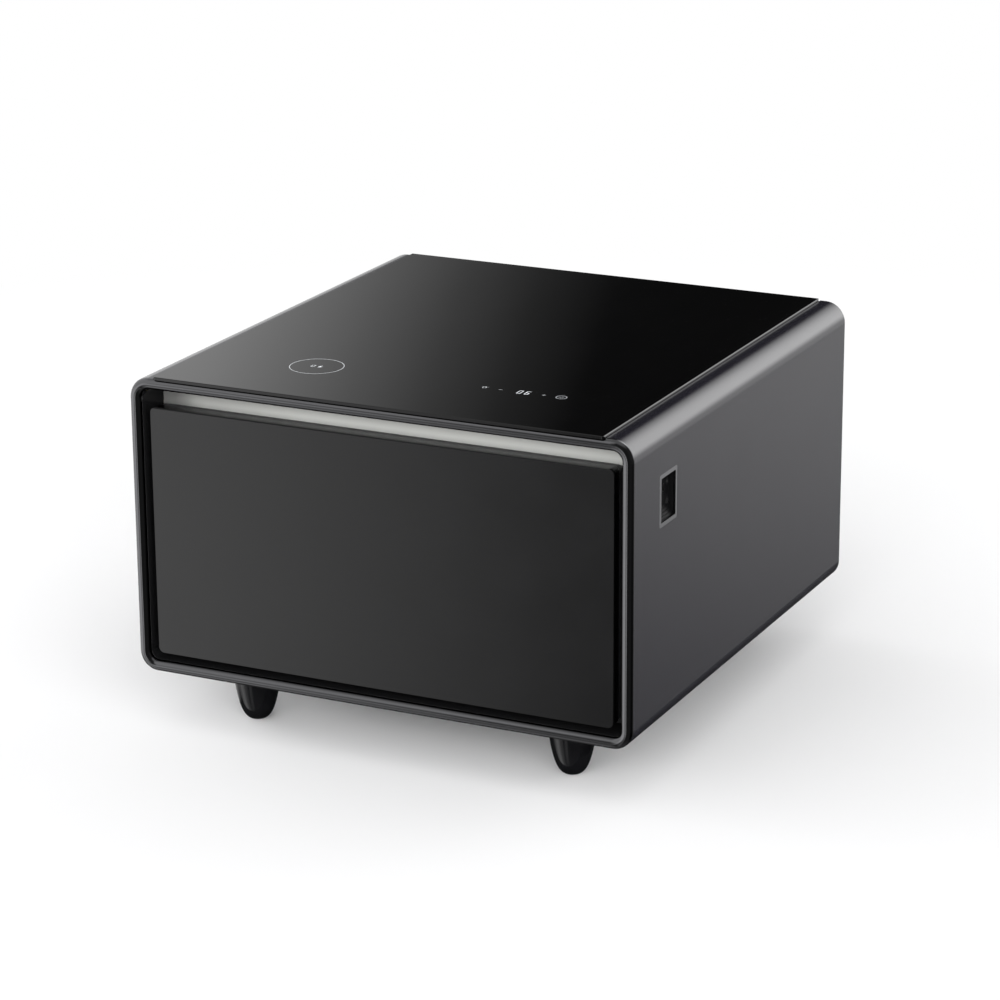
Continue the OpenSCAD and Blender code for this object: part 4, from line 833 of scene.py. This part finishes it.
class NIGHTSTAND_OT_light_bar(Operator):
    """Finishes the light bar: its milky panel, housing and lamp strip"""

    bl_idname = "nightstand.light_bar"
    bl_label = "Light bar"

    def execute(self, context):
        bar = context.scene.nightstand_light_bar
        # The panel starts from the darker dim-end colour: painted shade of the unlit end
        panel = Finish("milky_panel", shade(bar.tone, BAR_END_PAINTED_SHADE), 0.42)
        panel.relief(panel.grain(0.6 * MM), 0.004 * MM)
        low_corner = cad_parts["light_diffuser"].bound_box[0]
        start = low_corner[0] + bar.dim_end
        # Colour turns from the painted shade of the dim left end to the tone of the lit rest
        panel.mottle(panel.along("X"), shade(bar.tone, BAR_SHADE), start, start + BAR_FADE)
        tree = panel.tree
        from_start = math_node(tree, "SUBTRACT", panel.along("X"), start)
        along_bar = level_curve(tree, from_start, GLOW_ALONG_BAR)
        from_edge = math_node(tree, "SUBTRACT", panel.along("Z"), low_corner[2])
        # Glow across the bar, weaker towards its upper edge as painted shade from the frame above
        painted_shade_up_bar = level_curve(tree, from_edge, GLOW_AND_PAINTED_SHADE_UP_BAR)
        lit = math_node(tree, "MULTIPLY", math_node(tree, "MULTIPLY", along_bar, painted_shade_up_bar), bar.glow)
        tree.links.new(lit, panel.shader.inputs["Emission Strength"])
        panel.set("Emission Color", (*LAMP_GLOW_TONE, 1.0))
        dress(panel, "light_diffuser")
        dress(moulded_plastic("housing_plastic", HOUSING_TONE, 0.45), "light_housing")
        dress(moulded_plastic("lamp_strip", LAMP_STRIP_TONE, 0.4), "led_strip")
        return {"FINISHED"}


class NIGHTSTAND_OT_mouth(Operator):
    """Finishes the ring of the mouth, and the liner, foam and cold plate behind it"""

    bl_idname = "nightstand.mouth"
    bl_label = "Mouth and liner"

    def execute(self, context):
        inside = context.scene.nightstand_inside
        ring = moulded_plastic("mouth_plastic", MOUTH_TONE, 0.4)
        ring.set("Specular IOR Level", 0.25)
        dress(ring, "mouth_frame")
        dress(moulded_plastic("liner_plastic", inside.liner_tone, 0.3, 1.0 * MM, 0.004 * MM), "liner")
        dress(foamed("wall_foam", FOAM_TONE), "insulation")
        dress(rolled_aluminium("cold_plate", COLD_PLATE_TONE), "evaporator_plate")
        return {"FINISHED"}


class NIGHTSTAND_OT_drawer_front(Operator):
    """Finishes the drawer front: glass, frame, pan, foam, seal and screws"""

    bl_idname = "nightstand.drawer_front"
    bl_label = "Drawer front"

    def execute(self, context):
        glass = context.scene.nightstand_glass
        pane = black_pane("door_pane", shade(glass.tone, 1.5), glass.door_gloss)
        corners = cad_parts["drawer_glass"].bound_box
        pane.ground_rim(corners[0][1], corners[6][2] - RIM_HEIGHT)
        dress(pane, "drawer_glass")
        metal = context.scene.nightstand_metal
        dress(dark_anodised("front_metal", metal.bead_tone, metal.bead_gloss + 0.06), "drawer_frame")
        dress(moulded_plastic("pan_plastic", TRAY_TONE, 0.4), "drawer_pan")
        dress(foamed("front_foam", FOAM_TONE), "drawer_foam")
        dress(rubber("seal_rubber", SEAL_TONE), "drawer_gasket")
        dress(plated_steel("front_screws", FRONT_SCREW_TONE), "drawer_screws")
        return {"FINISHED"}


class NIGHTSTAND_OT_drawer_body(Operator):
    """Finishes the bin, its divider, the carrier and the telescopic runners"""

    bl_idname = "nightstand.drawer_body"
    bl_label = "Drawer body"

    def execute(self, context):
        inside = context.scene.nightstand_inside
        bin_plastic = moulded_plastic("bin_plastic", inside.liner_tone, 0.32, 1.0 * MM, 0.004 * MM)
        dress(bin_plastic, "drawer_bin")
        divider = Finish("divider_acrylic", DIVIDER_TONE, 0.06)
        divider.mottle(divider.grain(40 * MM), DIVIDER_CLOUD)
        divider.set("Transmission Weight", 0.9)
        divider.set("IOR", PLASTIC_IOR)
        dress(divider, "bin_divider")
        steel = plated_steel("runner_steel", inside.zinc_tone)
        dress(steel, "drawer_carrier")
        for side in ("left", "right"):
            dress(steel, *(f"runner_{part}_{side}" for part in ("outer", "middle", "inner")))
        return {"FINISHED"}


class NIGHTSTAND_OT_sockets(Operator):
    """Finishes the socket plate in the right side, and makes its two small marks"""

    bl_idname = "nightstand.sockets"
    bl_label = "Sockets"

    def execute(self, context):
        metal = context.scene.nightstand_metal
        dress(dark_anodised("bezel_metal", shade(metal.bead_tone, 2.4), 0.25), "socket_bezel")
        insert = moulded_plastic("insert_plastic", INSERT_TONE, 0.45)
        insert.set("Specular IOR Level", 0.09)
        dress(insert, "socket_insert")
        dress(plated_steel("socket_shells", SHELL_TONE), "usb_sockets")
        dress(solder_mask("socket_board_mask", BOARD_TONE), "socket_board")
        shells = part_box("usb_sockets")
        floor_x = shells[1].x + MARK_DEPTH
        beside = shells[1].y + MARK_BESIDE
        level = middle(shells).z

        def on_floor(up):
            return lambda p: Vector((floor_x, beside + p[0], level + up + p[1]))

        def bolt_mark(bm):
            draw_bolt(bm, on_floor(BOLT_LEVEL), 0.85)

        def plug_mark(bm):
            place = on_floor(PLUG_LEVEL)
            line = 0.8 * MM
            stroke(bm, circle_points(2.8 * MM, 24), line, place, closed=True)
            stroke(bm, ((0, 2.8 * MM), (0, 4.6 * MM)), line, place)
            stroke(bm, ((0, -1.2 * MM), (0, 1.0 * MM)), line, place)

        grey = moulded_plastic("mark_print", SOCKET_MARK_TONE, 0.5)
        for name, maker in (("socket_bolt_mark", bolt_mark), ("socket_plug_mark", plug_mark)):
            thicken(new_piece(name, maker, grey, "cabinet"), MARK_THICKNESS)
        return {"FINISHED"}


class NIGHTSTAND_OT_feet(Operator):
    """Finishes the four feet and their studs"""

    bl_idname = "nightstand.feet"
    bl_label = "Feet"

    def execute(self, context):
        dress(gloss_plastic("foot_plastic", FOOT_TONE),
              "foot_front_left", "foot_front_right", "foot_rear_left", "foot_rear_right")
        dress(plated_steel("stud_steel", context.scene.nightstand_inside.zinc_tone), "foot_studs")
        return {"FINISHED"}


class NIGHTSTAND_OT_machine_bay(Operator):
    """Finishes the works behind the back panel"""

    bl_idname = "nightstand.machine_bay"
    bl_label = "Machine bay"

    def execute(self, context):
        inside = context.scene.nightstand_inside
        steel = plated_steel("bay_steel", inside.zinc_tone)
        copper = drawn_copper("pipe_copper", inside.copper_tone)
        black = moulded_plastic("bay_plastic", BAY_PLASTIC_TONE, 0.45)
        dress(steel, "bay_partition", "base_plate")
        dress(satin_paint("shell_paint", COMPRESSOR_TONE, 0.34), "compressor", "fan_motor")
        dress(rubber("grommet_rubber", GROMMET_TONE), "compressor_grommets")
        dress(copper, "condenser_tube", "discharge_pipe", "suction_pipe", "filter_dryer",
              "capillary_tube")
        dress(rolled_aluminium("fin_metal", FIN_TONE), "condenser_fins")
        dress(black, "fan_shroud", "fan_rotor", "start_relay", "drain_tray")
        white = moulded_plastic("white_plastic", WHITE_PLASTIC_TONE, 0.42)
        dress(white, "drain_tube", "control_box")
        dress(solder_mask("control_mask", CONTROL_BOARD_TONE), "control_board")
        return {"FINISHED"}


class NIGHTSTAND_OT_back(Operator):
    """Finishes the louvred back panel, its screws and the power inlet"""

    bl_idname = "nightstand.back"
    bl_label = "Back panel"

    def execute(self, context):
        metal = context.scene.nightstand_metal
        panel = Finish("back_powder", metal.back_tone, 0.55)
        panel.mottle(panel.grain(1.2 * MM), shade(metal.back_tone, 1.5))
        panel.uneven(panel.grain(50 * MM), 0.48, 0.62)
        panel.relief(panel.cells(0.9 * MM), 0.03 * MM)
        dress(panel, "back_panel")
        dress(plated_steel("panel_screws", BACK_SCREW_TONE), "back_panel_screws")
        dress(moulded_plastic("inlet_plastic", INLET_TONE, 0.4), "power_inlet")
        return {"FINISHED"}


class NIGHTSTAND_OT_electronics(Operator):
    """Finishes the tray, coil and boards under the glass"""

    bl_idname = "nightstand.electronics"
    bl_label = "Boards and coil"

    def execute(self, context):
        inside = context.scene.nightstand_inside
        dress(moulded_plastic("tray_plastic", TRAY_TONE, 0.5), "electronics_tray")
        dress(drawn_copper("coil_copper", inside.copper_tone), "charging_coil")
        dress(solder_mask("board_mask", BOARD_TONE), "charger_board", "touch_board")
        return {"FINISHED"}


# ---- stage


def seen_rays(tree):
    """1 on rays that look straight at the scene or through glass, 0 on the rest"""
    path = tree.nodes.new("ShaderNodeLightPath").outputs
    return math_node(tree, "MAXIMUM", path["Is Camera Ray"], path["Is Transmission Ray"])


def stage_mesh(name, corners, faces):
    """A stage object from its corners"""
    mesh = bpy.data.meshes.new(name)
    mesh.from_pydata(corners, [], faces)
    made = bpy.data.objects.new(name, mesh)
    bpy.context.scene.collection.objects.link(made)
    return made


def only_mirrored(piece):
    """A piece of the stage that only shows in reflections"""
    piece.visible_camera = False
    piece.visible_diffuse = False
    piece.visible_transmission = False
    piece.visible_volume_scatter = False
    piece.visible_shadow = False


class NIGHTSTAND_OT_stage(Operator):
    """Makes the floor, the studio's light and the camera"""

    bl_idname = "nightstand.stage"
    bl_label = "Stage and camera"

    def execute(self, context):
        stage = context.scene.nightstand_stage
        self.light(context, stage)
        self.panels()
        self.floor(stage)
        self.painted_shadow_card()
        self.camera(context, stage)
        context.scene.view_settings.view_transform = "Standard"
        return {"FINISHED"}

    def light(self, context, stage):
        """Soft light from all round for matt surfaces, and plain white where the sky is looked at"""
        world = bpy.data.worlds.new("studio")
        context.scene.world = world
        world.use_nodes = True
        tree = world.node_tree
        tree.nodes.clear()
        place = tree.nodes.new("ShaderNodeTexCoord").outputs["Generated"]
        turn, height = self.bearing(tree, place)
        round_about = level_curve(tree, turn, SOFT_ROUND)
        upward = level_curve(tree, height, SOFT_UPWARD)
        level = math_node(tree, "MULTIPLY", round_about, upward)
        level = math_node(tree, "MULTIPLY", level, stage.light_level)
        level = blend_levels(tree, seen_rays(tree), level, 1.0)
        sky = tree.nodes.new("ShaderNodeBackground")
        sky.inputs["Color"].default_value = (1.0, 1.0, 1.0, 1.0)
        tree.links.new(level, sky.inputs["Strength"])
        output = tree.nodes.new("ShaderNodeOutputWorld")
        tree.links.new(sky.outputs[0], output.inputs["Surface"])
        world.cycles_visibility.glossy = False

    @staticmethod
    def bearing(tree, place):
        """Degrees round from the back towards the right, and degrees above the floor"""
        unit = tree.nodes.new("ShaderNodeVectorMath")
        unit.operation = "NORMALIZE"
        tree.links.new(place, unit.inputs[0])
        split = tree.nodes.new("ShaderNodeSeparateXYZ")
        tree.links.new(unit.outputs["Vector"], split.inputs[0])
        turn = math_node(tree, "ARCTAN2", split.outputs["X"], split.outputs["Y"])
        height = math_node(tree, "ARCSINE", split.outputs["Z"])
        return [math_node(tree, "MULTIPLY", angle, 180 / math.pi) for angle in (turn, height)]

    def panels(self):
        """A far round of light panels and black drapes, for what polished surfaces mirror"""
        sides, rows = 36, 18
        corners = []
        for row in range(rows + 1):
            lift = math.pi * (row / rows - 0.5)
            out, up = PANEL_RADIUS * math.cos(lift), PANEL_RADIUS * math.sin(lift)
            for side in range(sides):
                turn = 2 * math.pi * side / sides
                corners.append((out * math.sin(turn), out * math.cos(turn), up))
        faces = []
        for row in range(rows):
            for side in range(sides):
                here, after = row * sides + side, row * sides + (side + 1) % sides
                faces.append((here, after, after + sides, here + sides))
        dome = stage_mesh("light_panels", corners, faces)
        material = bpy.data.materials.new("panel_light")
        material.use_nodes = True
        material.cycles.emission_sampling = "NONE"
        tree = material.node_tree
        tree.nodes.clear()
        place = tree.nodes.new("ShaderNodeTexCoord").outputs["Object"]
        turn, height = self.bearing(tree, place)
        above = math_node(tree, "SUBTRACT", height, PANEL_LEAN_MIDDLE)
        lean = math_node(tree, "MULTIPLY", above, PANEL_LEAN)
        upper = level_curve(tree, math_node(tree, "ADD", turn, lean), UPPER_PANELS)
        lower = level_curve(tree, turn, LOWER_PANELS)
        for fade, span in LOWER_FADES:
            weight = level_curve(tree, turn, span)
            share = blend_levels(tree, weight, 1.0, level_curve(tree, height, fade))
            lower = math_node(tree, "MULTIPLY", lower, share)
        level = lower
        for rise, other in (
                ([(-6, 0.0), (6, 1.0)], upper),
                ([(45, 0.0), (65, 1.0)], OVERHEAD_LEVEL),
                ([(-75, 1.0), (-45, 0.0)], UNDERFOOT_LEVEL)):
            level = blend_levels(tree, level_curve(tree, height, rise), level, other)
        glow = tree.nodes.new("ShaderNodeEmission")
        tree.links.new(level, glow.inputs["Strength"])
        output = tree.nodes.new("ShaderNodeOutputMaterial")
        tree.links.new(glow.outputs[0], output.inputs["Surface"])
        dome.data.materials.append(material)
        only_mirrored(dome)

    @staticmethod
    def floor(stage):
        """A pale floor that turns to plain white away from the table"""
        corners = [(x * FLOOR_REACH, y * FLOOR_REACH, 0) for x, y in SQUARE]
        floor = stage_mesh("floor", corners, [(0, 1, 2, 3)])
        finish = Finish("floor_paper", stage.floor_tone, 0.9)
        finish.set("Specular IOR Level", 0.1)
        finish.mottle(finish.grain(300 * MM), shade(stage.floor_tone, 0.995))
        tree = finish.tree
        flat = finish.node("ShaderNodeMapping", Vector=finish.place, Scale=(1.0, 1.0, 0.0))
        far = tree.nodes.new("ShaderNodeVectorMath")
        far.operation = "LENGTH"
        tree.links.new(flat.outputs["Vector"], far.inputs[0])
        white = tree.nodes.new("ShaderNodeEmission")
        white.inputs["Color"].default_value = (1.0, 1.0, 1.0, 1.0)
        mix = tree.nodes.new("ShaderNodeMixShader")
        away = level_curve(tree, far.outputs["Value"], FLOOR_TO_WHITE)
        tree.links.new(math_node(tree, "MULTIPLY", away, seen_rays(tree)), mix.inputs["Fac"])
        tree.links.new(finish.shader.outputs[0], mix.inputs[1])
        tree.links.new(white.outputs[0], mix.inputs[2])
        tree.links.new(mix.outputs[0], tree.nodes["Material Output"].inputs["Surface"])
        floor.data.materials.append(finish.material)
        floor.visible_glossy = False

    @staticmethod
    def painted_shadow_card():
        """A dark card under the table: painted shadow of the floor, seen only in reflections"""
        half = (CAD_BOX[1] - CAD_BOX[0]) / 2 - Vector((CARD_INSET, CARD_INSET, 0.0))
        centre = middle(CAD_BOX)
        corners = [(centre.x + x * half.x, centre.y + y * half.y, MM) for x, y in SQUARE]
        card = stage_mesh("painted_shadow_card", corners, [(0, 1, 2, 3)])
        # Its dark material is painted shadow of the floor under the table
        card.data.materials.append(Finish("shade", PAINTED_SHADOW_TONE, 0.9).material)
        only_mirrored(card)

    @staticmethod
    def camera(context, stage):
        """The camera at the photograph's viewing angle"""
        turn, tilt, roll = stage.camera_turn, stage.camera_tilt, stage.camera_roll
        level = math.cos(tilt)
        back = Vector((math.sin(turn) * level, -math.cos(turn) * level, math.sin(tilt)))
        right = Vector((0, 0, 1)).cross(back).normalized()
        up = back.cross(right)
        axis_x = right * math.cos(roll) + up * math.sin(roll)
        axis_y = up * math.cos(roll) - right * math.sin(roll)
        data = bpy.data.cameras.new("camera")
        data.sensor_width = SENSOR_WIDTH
        data.lens = stage.lens
        data.clip_end = VIEW_DISTANCE
        camera = bpy.data.objects.new("camera", data)
        camera.matrix_world = Matrix.LocRotScale(
            Vector(stage.camera_place), Matrix((axis_x, axis_y, back)).transposed(), None)
        context.scene.collection.objects.link(camera)
        context.scene.camera = camera


# ---- panel and registration


PIECES = (
    NIGHTSTAND_OT_casing, NIGHTSTAND_OT_glass_top, NIGHTSTAND_OT_charge_ring, NIGHTSTAND_OT_touch_row,
    NIGHTSTAND_OT_light_bar, NIGHTSTAND_OT_mouth, NIGHTSTAND_OT_drawer_front, NIGHTSTAND_OT_drawer_body,
    NIGHTSTAND_OT_sockets, NIGHTSTAND_OT_feet, NIGHTSTAND_OT_machine_bay, NIGHTSTAND_OT_back,
    NIGHTSTAND_OT_electronics, NIGHTSTAND_OT_stage,
)

SETTINGS = {
    "nightstand_stage": StageSettings, "nightstand_metal": MetalSettings,
    "nightstand_glass": GlassSettings, "nightstand_marks": MarkSettings,
    "nightstand_light_bar": LightBarSettings, "nightstand_inside": InsideSettings,
}


class NIGHTSTAND_PT_panel(Panel):
    """Lists the settings and the pieces in the sidebar"""

    bl_idname = "NIGHTSTAND_PT_panel"
    bl_label = "Refrigerator Nightstand"
    bl_space_type = "VIEW_3D"
    bl_region_type = "UI"
    bl_category = "Nightstand"

    def draw(self, context):
        for name in SETTINGS:
            box = self.layout.box()
            group = getattr(context.scene, name)
            for key in group.__annotations__:
                box.prop(group, key)
        for piece in PIECES:
            self.layout.operator(piece.bl_idname)


def register():
    """Adds the settings, the pieces and the panel to Blender"""
    for settings in SETTINGS.values():
        bpy.utils.register_class(settings)
    for name, settings in SETTINGS.items():
        setattr(bpy.types.Scene, name, PointerProperty(type=settings))
    for piece in PIECES:
        bpy.utils.register_class(piece)
    bpy.utils.register_class(NIGHTSTAND_PT_panel)


def unregister():
    """Takes the panel, the pieces and the settings out again"""
    bpy.utils.unregister_class(NIGHTSTAND_PT_panel)
    for piece in reversed(PIECES):
        bpy.utils.unregister_class(piece)
    for name, settings in SETTINGS.items():
        delattr(bpy.types.Scene, name)
        bpy.utils.unregister_class(settings)


def main():
    """Registers the add-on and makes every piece"""
    register()
    for piece in PIECES:
        group, name = piece.bl_idname.split(".")
        getattr(getattr(bpy.ops, group), name)()


if __name__ == "__main__":
    main()
